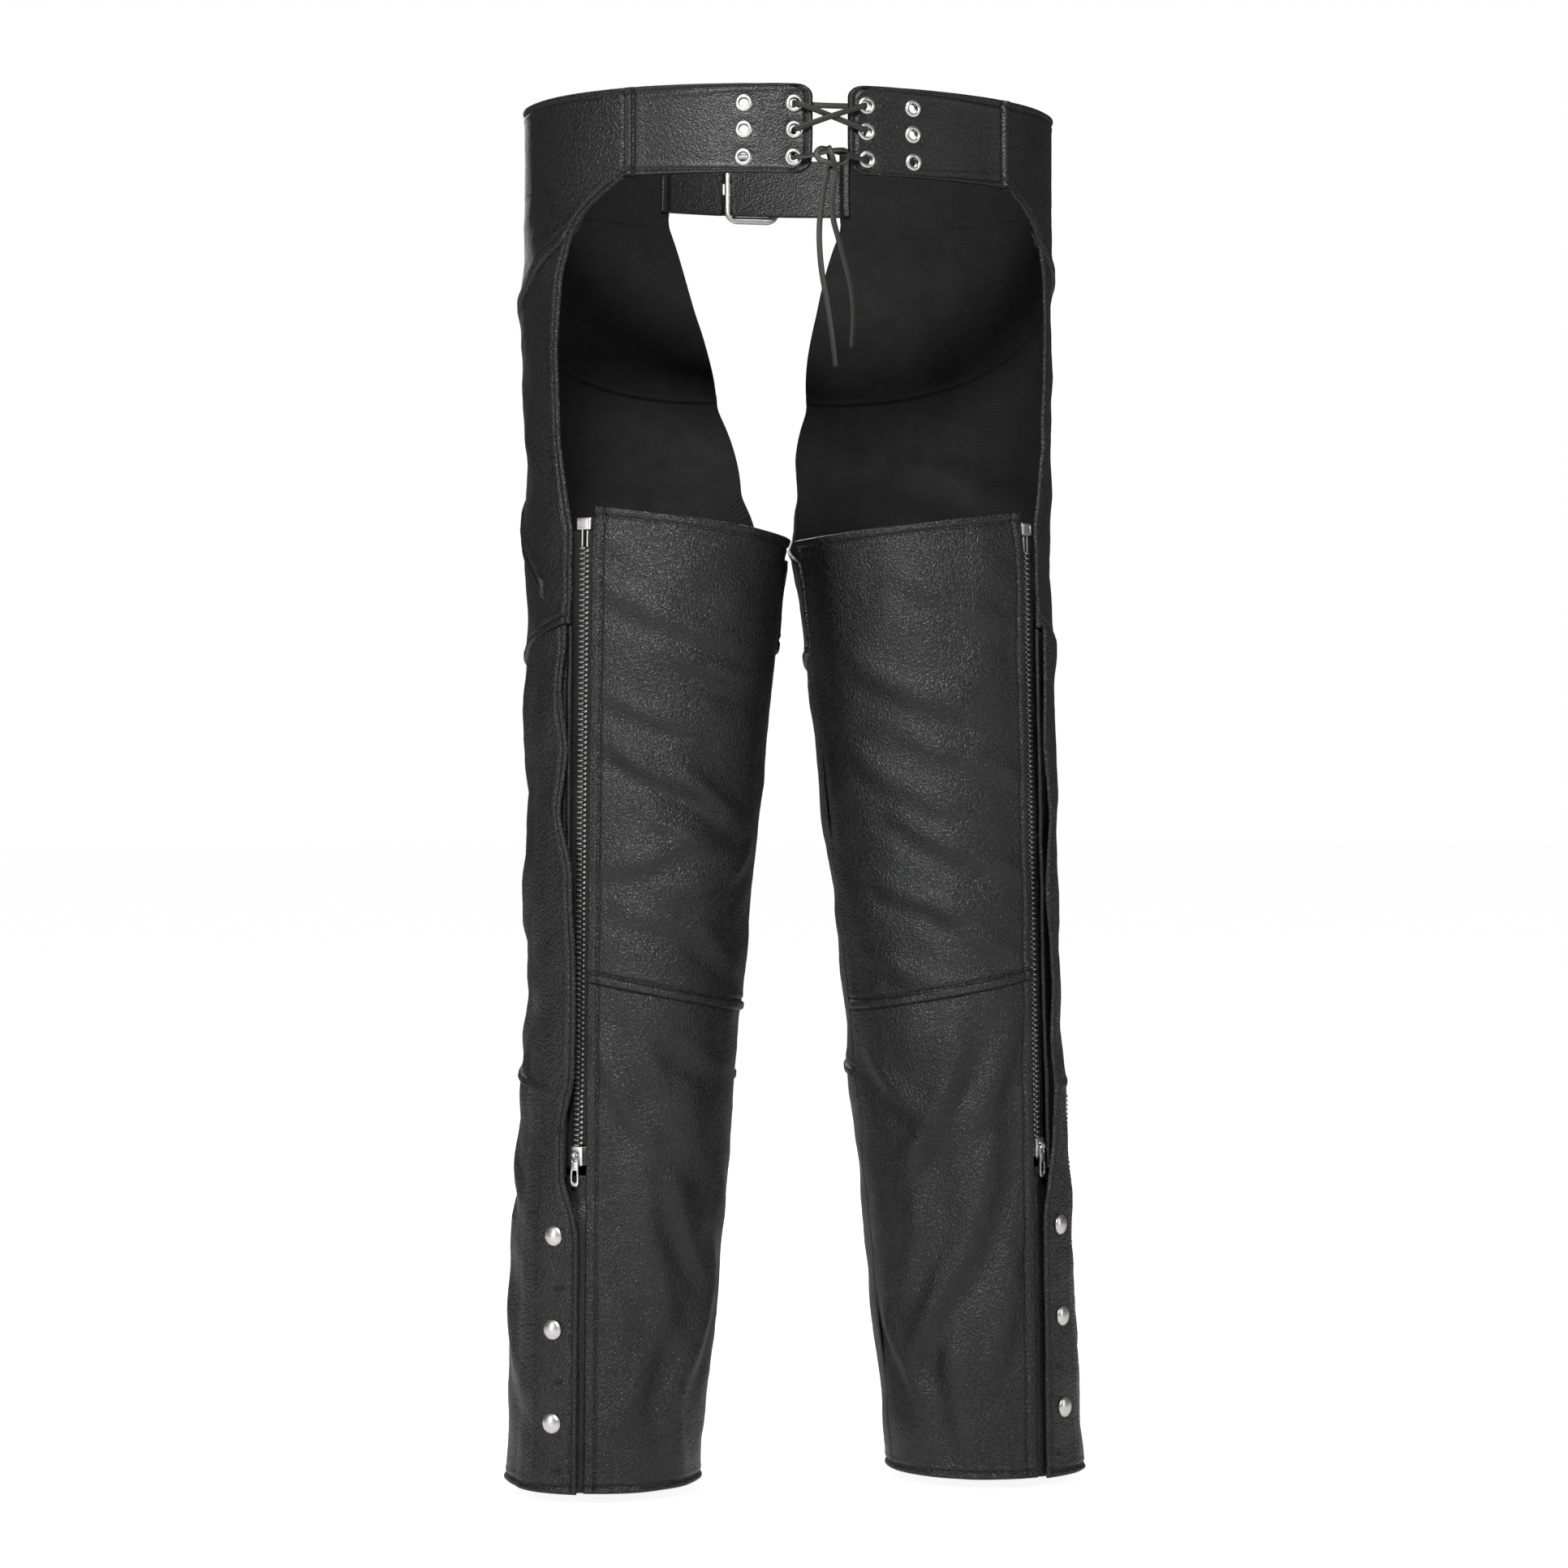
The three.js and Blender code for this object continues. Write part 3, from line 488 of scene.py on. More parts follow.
def two_faced(outer, inner):
    """Points and faces of a sheet from its outer and inner grids, closed by a rim."""
    nu, nv = outer.shape[:2]
    top = np.arange(nu * nv).reshape(nu, nv)
    under = top + nu * nv
    faces = []
    for i in range(nu - 1):
        for j in range(nv - 1):
            corners = ((i, j), (i, j + 1), (i + 1, j + 1), (i + 1, j))
            faces.append(tuple(int(top[c]) for c in corners))
            faces.append(tuple(int(under[c]) for c in (corners[0], corners[3], corners[2], corners[1])))
    border = [(i, 0) for i in range(nu)] + [(nu - 1, j) for j in range(1, nv)]
    border += [(i, nv - 1) for i in range(nu - 2, -1, -1)] + [(0, j) for j in range(nv - 2, 0, -1)]
    for here, after in zip(border, border[1:] + border[:1]):
        faces.append((int(top[here]), int(top[after]), int(under[after]), int(under[here])))
    return np.concatenate([outer.reshape(-1, 3), inner.reshape(-1, 3)]), faces


def leather_piece(name, tag, start_at, end_at, top, bottom, edges, finish, height=None, thick=HIDE_THICK,
                  fold=hang, shape=None, backing=None):
    """A panel of leather with real thickness between two angles and two seams.

    edges gives the treatment of "start", "end", "top" and "bottom": "turned" is folded over and
    stitched once, "over" laps over the next panel with a puffed band, "tucked" goes under one.
    Returns the panel, its stitches as one object, and the width, length and area it is cut to.
    """
    middle = 0.5 * (top[0] + bottom[0])
    wide = float(np.linalg.norm(
        np.diff(on_body(np.linspace(start_at(middle), end_at(middle), 40), middle, 0), axis=0), axis=1).sum())
    u = gridded(wide)[:, None]
    v = gridded(top[0] - bottom[0])[None, :]

    def angle_at(z):
        return start_at(z) + (end_at(z) - start_at(z)) * u

    z_top = seam_height(top, angle_at, np.zeros_like(u))
    z_low = seam_height(bottom, angle_at, np.zeros_like(u))
    z = z_top + (z_low - z_top) * v
    angle = angle_at(z)
    flat = on_body(angle, z, 0.0)
    out = on_body(angle, z, 1.0) - flat
    across = np.gradient(flat, axis=0)
    down = np.gradient(flat, axis=1)
    slant = np.linalg.norm(np.cross(across, down), axis=2)
    slant /= np.linalg.norm(across, axis=2) * np.linalg.norm(down, axis=2)
    steps_u = np.linalg.norm(np.diff(flat, axis=0), axis=2)
    steps_v = np.linalg.norm(np.diff(flat, axis=1), axis=2)
    run_u = np.concatenate([np.zeros((1, steps_u.shape[1])), np.cumsum(steps_u, 0)])
    run_v = np.concatenate([np.zeros((steps_v.shape[0], 1)), np.cumsum(steps_v, 1)], 1)
    away = {"start": run_u * slant, "end": (run_u[-1:] - run_u) * slant,
            "top": run_v * slant, "bottom": (run_v[:, -1:] - run_v) * slant}

    lift = np.zeros_like(z) if fold is None else fold(tag, angle, z, flat)
    if height is not None:
        lift = lift + height(u, z, away)
    raised = np.zeros_like(z)
    rim = np.full_like(z, 1.0)
    rows = []
    for side, (kind, *row) in edges.items():
        d = away[side]
        half = thick / 2
        rim = np.minimum(rim, np.sqrt(np.clip(1 - (1 - np.clip(d / half, 0, 1)) ** 2, 0, 1)))
        if kind == "turned":
            raised += 1.15 * step(d, 0, 1.4) * (1 - step(d, row[0] - 3.0, row[0]))
        if kind == "over":
            nearest = np.minimum(away["start"], away["end"]) if side == "bottom" else 9.0
            band = 2.0 * step(d, 0, 2.0) * (1 - step(d, 5.4, 8.2)) + 0.6 * (1 - step(d, 8, 24))
            raised += band * (0.3 + 0.7 * step(nearest, 0, 9))
        if kind == "tucked":
            lift = lift - 2.3 * (1 - step(d, 5.0, 8.2))
        for r in row:
            raised -= 0.85 * np.exp(-((d - r) / 0.95) ** 2) - 0.4 * np.exp(-((d - r - 3.0) / 2.0) ** 2)
            rows.append((side, r))
    if shape is not None:
        raised = raised + shape(angle, z, away)

    outer = flat + out * (lift + (thick / 2 + raised) * rim)[..., None]
    inner = flat + out * (lift - thick / 2 * rim)[..., None]
    stitches = []
    for side, r in rows:
        d = away[side]
        if side in ("start", "end"):
            order = slice(None) if side == "start" else slice(None, None, -1)
            lines = [(outer[order, j], out[order, j], d[order, j]) for j in range(d.shape[1])]
        else:
            order = slice(None) if side == "top" else slice(None, None, -1)
            lines = [(outer[i, order], out[i, order], d[i, order]) for i in range(d.shape[0])]
        lines = lines[2:-2]
        route = np.array([[np.interp(r, far, pos[:, k]) for k in range(3)] for pos, _, far in lines])
        facing = np.array([[np.interp(r, far, way[:, k]) for k in range(3)] for _, way, far in lines])
        stitch_row(route, facing, stitches)

    nu, nv = z.shape
    points, faces = two_faced(outer, inner)
    mirror = tag == "R"
    if mirror:
        points = points * np.array([-1, 1, 1])
        faces = [f[::-1] for f in faces]
    made = make_piece(f"{name}_{tag}", points, faces, finish)
    made.data.materials.append(backing or lining_black)
    paired = 2 * (nu - 1) * (nv - 1)
    made.data.polygons.foreach_set("material_index", [
        1 if k < paired and k % 2 else 0 for k in range(len(made.data.polygons))])
    thread = sew(f"{name}_stitching_{tag}", stitches, mirror) if stitches else None
    wide = float(steps_u.sum(0).max()) / 1000
    long = float((steps_v * slant[:, 1:]).sum(1).max()) / 1000
    cell = np.cross(flat[1:, 1:] - flat[:-1, :-1], flat[1:, :-1] - flat[:-1, 1:]) / 2
    area = float(np.linalg.norm(cell, axis=2).sum()) * 1e-6
    return made, thread, (wide, long, min(area, wide * long))


def weld_rim(made):
    """Closes the turned rim, where the two faces of the leather meet."""
    work = bmesh.new()
    work.from_mesh(made.data)
    bmesh.ops.remove_doubles(work, verts=work.verts, dist=1e-6)
    bmesh.ops.recalc_face_normals(work, faces=work.faces)
    work.to_mesh(made.data)
    work.free()
    made.data.polygons.foreach_set("use_smooth", [True] * len(made.data.polygons))


def hang_on(made, thread, cut, body, hangs_from, *replaced):
    """Closes a panel's rim, joins it and its stitches to its body and hides the parts it replaces; the size
    of hide it was cut from is not used.
    """
    weld_rim(made)
    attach(made, body)
    if replaced:
        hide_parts(*replaced)
    if thread is not None:
        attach(thread, body)


for tag in ("L", "R"):
    made, thread, cut = leather_piece(
        "hip_yoke_skirt", tag, front_edge, arch_edge, (-HALF_BELT + 4, 0, 0), YOKE_SEAM,
        {"start": TURNED, "end": TURNED, "bottom": OVER}, hide_black)
    hang_on(made, thread, cut, "root", f"yoke_belt_part_{tag}", f"hip_yoke_{tag}")

# ---------------------------------------------------------------------------
# Front panels of the legs: thigh, shin and hem. The same hide, joined by lap
# seams, with the long front edge at the inner leg and the back edge at the flap.
# The left thigh is hollowed where its pocket opens.
# ---------------------------------------------------------------------------
def lowered(seam, drop):
    return (seam[0] - drop, seam[1], seam[2])


def front_inside(z):
    return np.where(z > -304, front_edge(z), inseam(z) - 359.6)


# The pocket's slit: where it starts, and how far it turns round the leg and falls.
POCKET_ANGLE = -24
POCKET_TOP = -255
POCKET_TURN = 46
POCKET_FALL = 75


def pocket_mouth(angle, z, away):
    """The hollow that the left thigh's slanted pocket opens into."""
    share = (angle - POCKET_ANGLE) / POCKET_TURN
    from_slit = z - POCKET_TOP + POCKET_FALL * share
    return -1.6 * np.exp(-(from_slit / 2.2) ** 2) * step(np.minimum(share, 1 - share), 0.02, 0.06)


for tag in ("L", "R"):
    made, thread, cut = leather_piece(
        "thigh_front_panel", tag, front_inside, arch_edge, lowered(YOKE_SEAM, -LAP), UPPER_SEAM,
        {"start": TURNED, "end": TURNED, "top": TUCKED, "bottom": OVER}, hide_black,
        shape=pocket_mouth if tag == "L" else None)
    hang_on(made, thread, cut, "root", f"hip_yoke_skirt_{tag}", f"thigh_front_{tag}")
    made, thread, cut = leather_piece(
        "shin_front_panel", tag, front_inside, lambda z: flap_base(z) + 2.2, lowered(UPPER_SEAM, -LAP),
        LOWER_SEAM, {"start": PLAIN, "end": PLAIN, "top": TUCKED, "bottom": OVER}, hide_black)
    hang_on(made, thread, cut, "root", f"thigh_front_panel_{tag}", f"shin_front_{tag}")
    made, thread, cut = leather_piece(
        "hem_front_panel", tag, front_inside, lambda z: flap_base(z) + 2.2, lowered(LOWER_SEAM, -LAP),
        (HEM, 0, 0), {"start": PLAIN, "end": PLAIN, "top": TUCKED, "bottom": TURNED}, hide_black)
    hang_on(made, thread, cut, "root", f"shin_front_panel_{tag}", f"hem_front_{tag}")

# ---------------------------------------------------------------------------
# Zip facing strips. Finer-grained hide behind each storm flap, sewn to the
# front panels, that carries the front half of the zip.
# ---------------------------------------------------------------------------
# Its dark and light colours are painted shade in the creases and painted highlight on the pebble tops, mixed
# with its own uneven tone.
hide_smooth = leather_finish(
    "hide_smooth", 620, 0.00032, (0.002, 0.002, 0.0022), (0.014, 0.014, 0.0144), 0.38, 0.8)

for tag in ("L", "R"):
    made, thread, cut = leather_piece(
        "zip_facing_strip", tag, lambda z: flap_base(z) + 2.6, lambda z: beside_zip(z, -8.0),
        lowered(UPPER_SEAM, 1), (ZIP_FOOT - 6, 0, 0),
        {"start": PLAIN, "end": TURNED, "top": PLAIN, "bottom": PLAIN}, hide_smooth)
    hang_on(made, thread, cut, "root", f"thigh_front_panel_{tag}", f"zip_facing_{tag}")

# ---------------------------------------------------------------------------
# Back panels of the legs. The hide is lapped at the knee, its top edge is open
# and turned, and its outer edge is sewn along the back half of the zip. Both go
# with the leg when it is opened.
# ---------------------------------------------------------------------------
for tag in ("L", "R"):
    made, thread, cut = leather_piece(
        "back_upper_panel", tag, back_reveal, inseam, BACK_TOP, KNEE_SEAM,
        {"start": ("turned", 8.6), "end": PLAIN, "top": ("turned", 7.2), "bottom": OVER}, hide_black)
    hang_on(made, thread, cut, f"back_panel_{tag}", f"zip_tape_back_{tag}", f"back_upper_{tag}")
    made, thread, cut = leather_piece(
        "back_lower_panel", tag, back_reveal, inseam, lowered(KNEE_SEAM, -LAP), (HEM, 0, 0),
        {"start": ("turned", 8.6), "end": PLAIN, "top": TUCKED, "bottom": TURNED}, hide_black)
    hang_on(made, thread, cut, f"back_panel_{tag}", f"back_upper_panel_{tag}", f"back_lower_{tag}")

# ---------------------------------------------------------------------------
# Under-laps. A narrow tongue of smooth hide under each placket, sewn to the lower
# back panel, that carries the studs of the snaps.
# ---------------------------------------------------------------------------
for tag in ("L", "R"):
    made, thread, cut = leather_piece(
        "snap_underlap", tag, lambda z: flap_base(z) + 3.0, lambda z: beside_zip(z, 14.0),
        (ZIP_FOOT - 4, 0, 0), (HEM + 0.3, 0, 0),
        {"start": TURNED, "end": PLAIN, "top": PLAIN, "bottom": PLAIN}, hide_smooth,
        backing=hide_smooth, height=lambda u, z, away: (
            -1.6 * (1 - step(away["end"], 4, 12)) - 3.0 * step(z, -792, -774)))
    hang_on(made, thread, cut, f"back_panel_{tag}", f"back_lower_panel_{tag}")

# ---------------------------------------------------------------------------
# Storm flaps. A folded strip of the same hide runs down the front side of each
# zip, is sewn into the leg along its front edge, waves a little along its free
# edge, and becomes the snap placket below the zip.
# ---------------------------------------------------------------------------
# Its dark and light colours are painted shade in the creases and painted highlight on the pebble tops, mixed
# with its own uneven tone.
hide_coarse = leather_finish(
    "hide_coarse", 440, 0.0007, (0.0015, 0.0015, 0.0016), (0.015, 0.015, 0.0154), 0.38)
FLAP_FEATHER = 9.0
PLACKET_TOP = -700.0
SNAP_HEIGHTS = (-802, -870, -938)
SNAP_INSET = 13.5
FLAP_WAVES = {
    "L": [(-372, 9), (-392, 11.5), (-420, 11), (-446, 6), (-470, 8.5), (-494, 12), (-514, 7), (-536, 1.5),
          (-562, 1), (-590, -1.5), (-640, -3), (-690, -1.5), (-718, 6), (-762, 6.5), (-782, -1),
          (-800, -5), (-989, -4.5)],
    "R": [(-372, 9), (-400, 7), (-440, 5.5), (-468, 8), (-500, 10), (-532, 7), (-560, 4.5), (-590, 7.5),
          (-622, 9.5), (-660, 7.5), (-700, 9), (-740, 7), (-770, 1), (-794, -4), (-989, -4.5)],
}
FLAP_RIPPLES = {
    "L": [(-372, 0), (-396, 1.2), (-420, 0), (-446, -0.4), (-480, 1.6), (-500, 2.2), (-530, 0), (-560, 0.8),
          (-600, 0), (-650, 0.7), (-700, 0), (-760, 0), (-989, 0)],
    "R": [(-372, 0), (-410, 0.8), (-445, -0.2), (-500, 1.8), (-545, -0.3), (-585, 1.2), (-625, 1.8),
          (-665, 0), (-705, 1.0), (-760, 0), (-989, 0)],
}


def flap_height(tag):
    def height(u, z, away):
        d = away["start"] - FLAP_FEATHER
        share = np.clip(d / FLAP_WIDTH, 0, 1)
        rise = -0.2 + 2.8 * step(away["start"], 1.0, FLAP_FEATHER + 9) + 3.4 * step(share, -0.05, 0.62)
        ripple = between(FLAP_RIPPLES[tag], z, 10) * step(share, 0.35, 1.0)
        from_row = away["end"] - SNAP_INSET - 4.5
        dimple = sum(np.exp(-((z - s) ** 2 + from_row ** 2) / 60.0) for s in SNAP_HEIGHTS)
        return rise + ripple - 0.35 * dimple
    return height


def flap_shape(angle, z, away):
    """The seam that runs over the flap, the placket's two rows and its pressed step."""
    p = on_body(angle, z, 0)
    above = z - (LOWER_SEAM[0] + LOWER_SEAM[2] * p[..., 1])
    band = 1.0 * step(above, 0, 1.6) * (1 - step(above, 5.2, 8.2)) - 0.5 * np.exp(-((above + 0.6) / 0.7) ** 2)
    band = band - 0.45 * np.exp(-((above - 8.4) / 0.8) ** 2)
    low = step(-z, -PLACKET_TOP, -PLACKET_TOP + 14)
    rows = -0.4 * low * np.exp(-((away["end"] - 32.0) / 0.9) ** 2)
    rows = rows + 0.35 * low * step(away["end"], 28, 31.5) * (1 - step(away["end"], 32, 37))
    return band * (0.35 + 0.65 * step(away["end"], 0, 3)) + rows


for tag in ("L", "R"):
    waves = FLAP_WAVES[tag]

    def flap_front(z):
        return beside_zip(z, -FLAP_EDGE - FLAP_WIDTH - FLAP_FEATHER)

    def flap_free_edge(z, waves=waves):
        return beside_zip(z, -between(waves, z, 11))

    made, thread, cut = leather_piece(
        "storm_flap_sheet", tag, flap_front, flap_free_edge, lowered(UPPER_SEAM, 0.6), (HEM, 0, 0),
        {"end": ("turned", 4.6), "bottom": TURNED, "top": PLAIN}, hide_coarse,
        height=flap_height(tag), shape=flap_shape, backing=hide_smooth)
    weld_rim(made)
    middle = np.array(-650.0)
    foot = on_body(beside_zip(middle, -FLAP_EDGE - FLAP_WIDTH - 6.0), middle, HIDE_THICK)
    far = on_body(beside_zip(middle, -FLAP_EDGE - FLAP_WIDTH + 10.0), middle, HIDE_THICK)
    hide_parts(f"storm_flap_{tag}")

    # Rows of the placket and bar tacks between the snaps.
    rows = []
    heights = np.arange(PLACKET_TOP - 4, HEM + 8, -2.0)
    line = on_body(beside_zip(heights, -27.4), heights, 8.15)
    outward = on_body(beside_zip(heights, -27.4), heights, 9.15) - line
    line = line + outward * hang(tag, beside_zip(heights, -27.4), heights, line)[:, None]
    stitch_row(line, outward, rows)
    for tack in (-725, -840, -908, -972):
        reach = np.linspace(-13, -4.5, 8)
        for lift in (-1.1, 0, 1.1):
            z = np.full(8, float(tack) + lift)
            spots = on_body(beside_zip(z, reach), z, 8.1)
            stitch_row(spots, on_body(beside_zip(z, reach), z, 9.1) - spots, rows, 2.2)
    placket_thread = sew(f"placket_stitching_{tag}", rows, tag == "R")
    # The flap, its stitches and the placket's stitches are baked into world coordinates.
    for piece in (made, thread, placket_thread):
        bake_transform(piece)

# ---------------------------------------------------------------------------
# Back belt halves. Three layers of hide glued and stitched all round, with the
# corners rounded off at the lacing gap and six eyelet holes punched through.
# ---------------------------------------------------------------------------
BELT_THICK = 3.4
EYELET_ROWS = (18, -1, -21)
EYELET_COLUMNS = (7.6, 18.1)


def belt_waist(tag, angle, z, p):
    return 0.35 * rumple(p, 34, 31 if tag == "L" else 37) + 0.14 * rumple(p, 9, 41)


def rounded_end(base, corner, toward):
    """An end that is cut with rounded corners: the angle shifts near the top and bottom."""
    def end(z):
        d = np.clip(corner - (HALF_BELT - np.abs(z)), 0, corner)
        return base(z) - toward * (corner - np.sqrt(np.clip(corner ** 2 - d ** 2, 0, None))) / 2.6
    return end


def fixed(angle):
    return lambda z: angle + 0 * np.asarray(z, float)


def eyelet_dimples(angle, z, away):
    pull = 0
    for column in EYELET_COLUMNS:
        for row in EYELET_ROWS:
            d = np.hypot(np.radians(angle - (90 - column)) * 200, z - row)
            pull = pull - 0.5 * np.exp(-(d / 6.5) ** 2) + 0.25 * np.exp(-((d - 10) / 3) ** 2)
    return pull


def punch(made, tag, radius=4.6):
    """Cuts the eyelet holes clean through the belt."""
    cutters = bpy.data.meshes.new("punch")
    points, faces = [], []
    for column in EYELET_COLUMNS:
        for row in EYELET_ROWS:
            a = np.array(90.0 - column)
            middle = on_body(a, np.array(float(row)), 0)
            out = on_body(a, np.array(float(row)), 1) - middle
            aside = np.cross(out, (0, 0, 1))
            first = len(points)
            for depth in (-8, 8):
                for k in range(24):
                    t = 2 * math.pi * k / 24
                    points.append(middle + out * depth + aside * radius * math.cos(t)
                                  + np.array((0, 0, radius * math.sin(t))))
            for k in range(24):
                k2 = (k + 1) % 24
                faces.append((first + k, first + k2, first + 24 + k2, first + 24 + k))
            faces.append(tuple(first + k for k in range(23, -1, -1)))
            faces.append(tuple(first + 24 + k for k in range(24)))
    mirror = np.array([-1 if tag == "R" else 1, 1, 1]) * 0.001
    cutters.from_pydata([tuple(p * mirror) for p in points], [], faces)
    work = bmesh.new()
    work.from_mesh(cutters)
    bmesh.ops.recalc_face_normals(work, faces=work.faces)
    work.to_mesh(cutters)
    work.free()
    tool = bpy.data.objects.new("punch", cutters)
    bpy.context.scene.collection.objects.link(tool)
    cut = made.modifiers.new("holes", "BOOLEAN")
    cut.operation = "DIFFERENCE"
    cut.solver = "EXACT"
    cut.object = tool
    graph = bpy.context.evaluated_depsgraph_get()
    made.data = bpy.data.meshes.new_from_object(made.evaluated_get(graph))
    made.modifiers.clear()
    bpy.data.objects.remove(tool)
    bpy.data.meshes.remove(cutters)


for tag in ("L", "R"):
    gap = rounded_end(fixed(90 - 3.7), 9, 1)
    made, thread, cut = leather_piece(
        "back_belt_half", tag, fixed(44.4), gap, (HALF_BELT, 0, 0), (-HALF_BELT, 0, 0),
        {"start": ("over", 8.0), "end": ("turned", 5.0), "top": ("turned", 5.0), "bottom": ("turned", 5.0)},
        hide_smooth, thick=BELT_THICK, fold=belt_waist, shape=eyelet_dimples, backing=hide_smooth)
    weld_rim(made)
    punch(made, tag)
    made.data.polygons.foreach_set("use_smooth", [True] * len(made.data.polygons))
    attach(made, "root")
    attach(thread, "root")
    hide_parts(f"back_belt_{tag}")

# ---------------------------------------------------------------------------
# Belt part of each yoke. Two layers of hide that go on from the back belt round
# the side to the front, sewn to the top of the hip yoke.
# ---------------------------------------------------------------------------
for tag in ("L", "R"):
    made, thread, cut = leather_piece(
        "yoke_belt_part", tag, fixed(-70), fixed(46.5), (HALF_BELT, 0, 0), (-HALF_BELT - 1.5, 0, 0),
        {"top": ("turned", 5.0), "end": PLAIN, "start": ("turned", 5.0)},
        hide_black, thick=2.6, fold=belt_waist,
        height=lambda u, z, away: -2.4 * (1 - step(away["end"], 4, 9)))
    hang_on(made, thread, cut, "root", f"back_belt_half_{tag}")

# ---------------------------------------------------------------------------
# Front straps. Narrower belt leather, sewn to the belt part at the side. The left
# strap carries the buckle, and the right one has a rounded end that goes through it.
# ---------------------------------------------------------------------------
for tag in ("L", "R"):
    strap_end = fixed(-83) if tag == "L" else rounded_end(fixed(-95), 8, -1)
    made, thread, cut = leather_piece(
        "front_strap_leather", tag, strap_end, fixed(-67.5), (HALF_BELT - 10, 0, 0), (-HALF_BELT + 10, 0, 0),
        {"start": ("turned", 4.5), "end": PLAIN, "top": ("turned", 4.5), "bottom": ("turned", 4.5)},
        hide_smooth, thick=2.8, fold=belt_waist, backing=hide_smooth,
        height=lambda u, z, away: -2.6 * (1 - step(away["end"], 4, 9)))
    hang_on(made, thread, cut, "root", f"yoke_belt_part_{tag}", f"front_strap_{tag}")

# ---------------------------------------------------------------------------
# Zip tapes. Black herringbone polyester tape with a rolled bead between the
# teeth, sewn down beside each leg opening. The back half goes with the back panel.
# ---------------------------------------------------------------------------
ZIP_BACK = np.array((-0.72707, 0.68655, 0.00452))
ZIP_UP = np.array((-0.013896, -0.021293, 0.999677))
ZIP_OUT = np.array((0.686423, 0.726771, 0.025022))
ZIP_LENGTH = 477.0
CHAIN_DEEP = -3.8
BOX_TALL = 9.0
SLIDER_REST = -467.0
BACK_HALF_FOOT = SLIDER_REST + 8


def in_zip(points, tag):
    """Zip-frame points (to the back, up, outwards) in millimetres, placed on one side."""
    p = np.asarray(points, float)
    placed = np.array(ZIP_START) + p[:, :1] * ZIP_BACK + p[:, 1:2] * ZIP_UP + p[:, 2:3] * ZIP_OUT
    return placed * np.array([-1 if tag == "R" else 1, 1, 1])


def tape_finish():
    """Herringbone-woven polyester tape, dull black."""
    made = bpy.data.materials.new("woven_tape")
    made.use_nodes = True
    tree = made.node_tree
    shader = tree.nodes["Principled BSDF"]
    place = node(tree, "TexCoord")
    waves = []
    for direction, scale in (("Z", 520.0), ("DIAGONAL", 380.0)):
        wave = node(tree, "TexWave", wave_type="BANDS", bands_direction=direction)
        wave.inputs["Scale"].default_value = scale
        wave.inputs["Distortion"].default_value = 0.4
        wire(tree, place.outputs["Object"], wave.inputs["Vector"])
        waves.append(wave.outputs["Fac"])
    weave = calculation(tree, "MULTIPLY", *waves)
    tone = node(tree, "Mix", data_type="RGBA")
    tone.inputs["A"].default_value = (0.004, 0.004, 0.0045, 1)
    tone.inputs["B"].default_value = (0.016, 0.016, 0.017, 1)
    wire(tree, weave, tone.inputs["Factor"])
    wire(tree, tone.outputs["Result"], shader.inputs["Base Color"])
    wire(tree, ranged(tree, weave, 0, 1, 0.95, 0.75), shader.inputs["Roughness"])
    bump = node(tree, "Bump")
    bump.inputs["Distance"].default_value = 0.00025
    wire(tree, weave, bump.inputs["Height"])
    wire(tree, bump.outputs["Normal"], shader.inputs["Normal"])
    return made


woven_tape = tape_finish()


def ring_faces(rings, around, closed=False):
    """Faces that join rings of points one after another, and its first to its last if closed."""
    faces = []
    for i in range(rings if closed else rings - 1):
        i2 = (i + 1) % rings
        for k in range(around):
            k2 = (k + 1) % around
            faces.append((i * around + k, i * around + k2, i2 * around + k2, i2 * around + k))
    return faces


def capped(rings, around):
    """The same faces with a flat one at each end."""
    ends = [tuple(range(around))[::-1], tuple((rings - 1) * around + k for k in range(around))]
    return ring_faces(rings, around) + ends


def gathered(blocks):
    """Several pieces' points and faces as one list each."""
    points, faces = [], []
    for some_points, some_faces in blocks:
        first = len(points)
        points += [tuple(p) for p in some_points]
        faces += [tuple(first + i for i in f) for f in some_faces]
    return points, faces


def zip_piece(name, tag, blocks, finish, body, replaced=()):
    points, faces = gathered(blocks)
    placed = in_zip(points, tag)
    if tag == "R":
        faces = [f[::-1] for f in faces]
    made = make_piece(f"{name}_{tag}", placed, faces, finish)
    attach(made, body)
    for one in replaced:
        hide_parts(one)
    return made


def tape_half(side, top, foot):
    """The woven tape of one half with its rolled bead between the teeth."""
    rows = int((top - foot) / 4)
    section = [(0.9, -0.5), (1.2, -1.15), (2.4, -1.25), (3.4, -0.55), (10.3, -0.45), (10.3, 0.45),
               (3.4, 0.55), (2.4, 1.25), (1.2, 1.15), (0.9, 0.5)]
    points = []
    for j in range(rows + 1):
        y = top + (foot - top) * j / rows
        ease = 0.1 * math.sin(j * 1.7)
        points += [(side * x, y, CHAIN_DEEP + h * 0.9 + (ease if x > 5 else 0)) for x, h in section]
    faces = capped(rows + 1, len(section))
    if side < 0:
        faces = [f[::-1] for f in faces]
    return [(points, faces)]


for tag in ("L", "R"):
    back_body = f"back_panel_{tag}"
    tape_front = tape_half(-1, -BOX_TALL - 0.4, -ZIP_LENGTH)
    zip_piece("zip_tape_front", tag, tape_front, woven_tape, "root", [f"zip_front_{tag}"])
    tape_back = tape_half(1, -BOX_TALL - 0.8, BACK_HALF_FOOT)
    zip_piece("zip_tape_back", tag, tape_back, woven_tape, back_body, [f"zip_back_{tag}"])

# ---------------------------------------------------------------------------
# Zip teeth. Pressed nickel teeth, each clamped round the bead of its tape, the two
# rows set half a pitch apart so that they mesh. They are duller than the fittings.
# ---------------------------------------------------------------------------
TOOTH_PITCH = 3.8
CHAIN_FIRST = -21.0


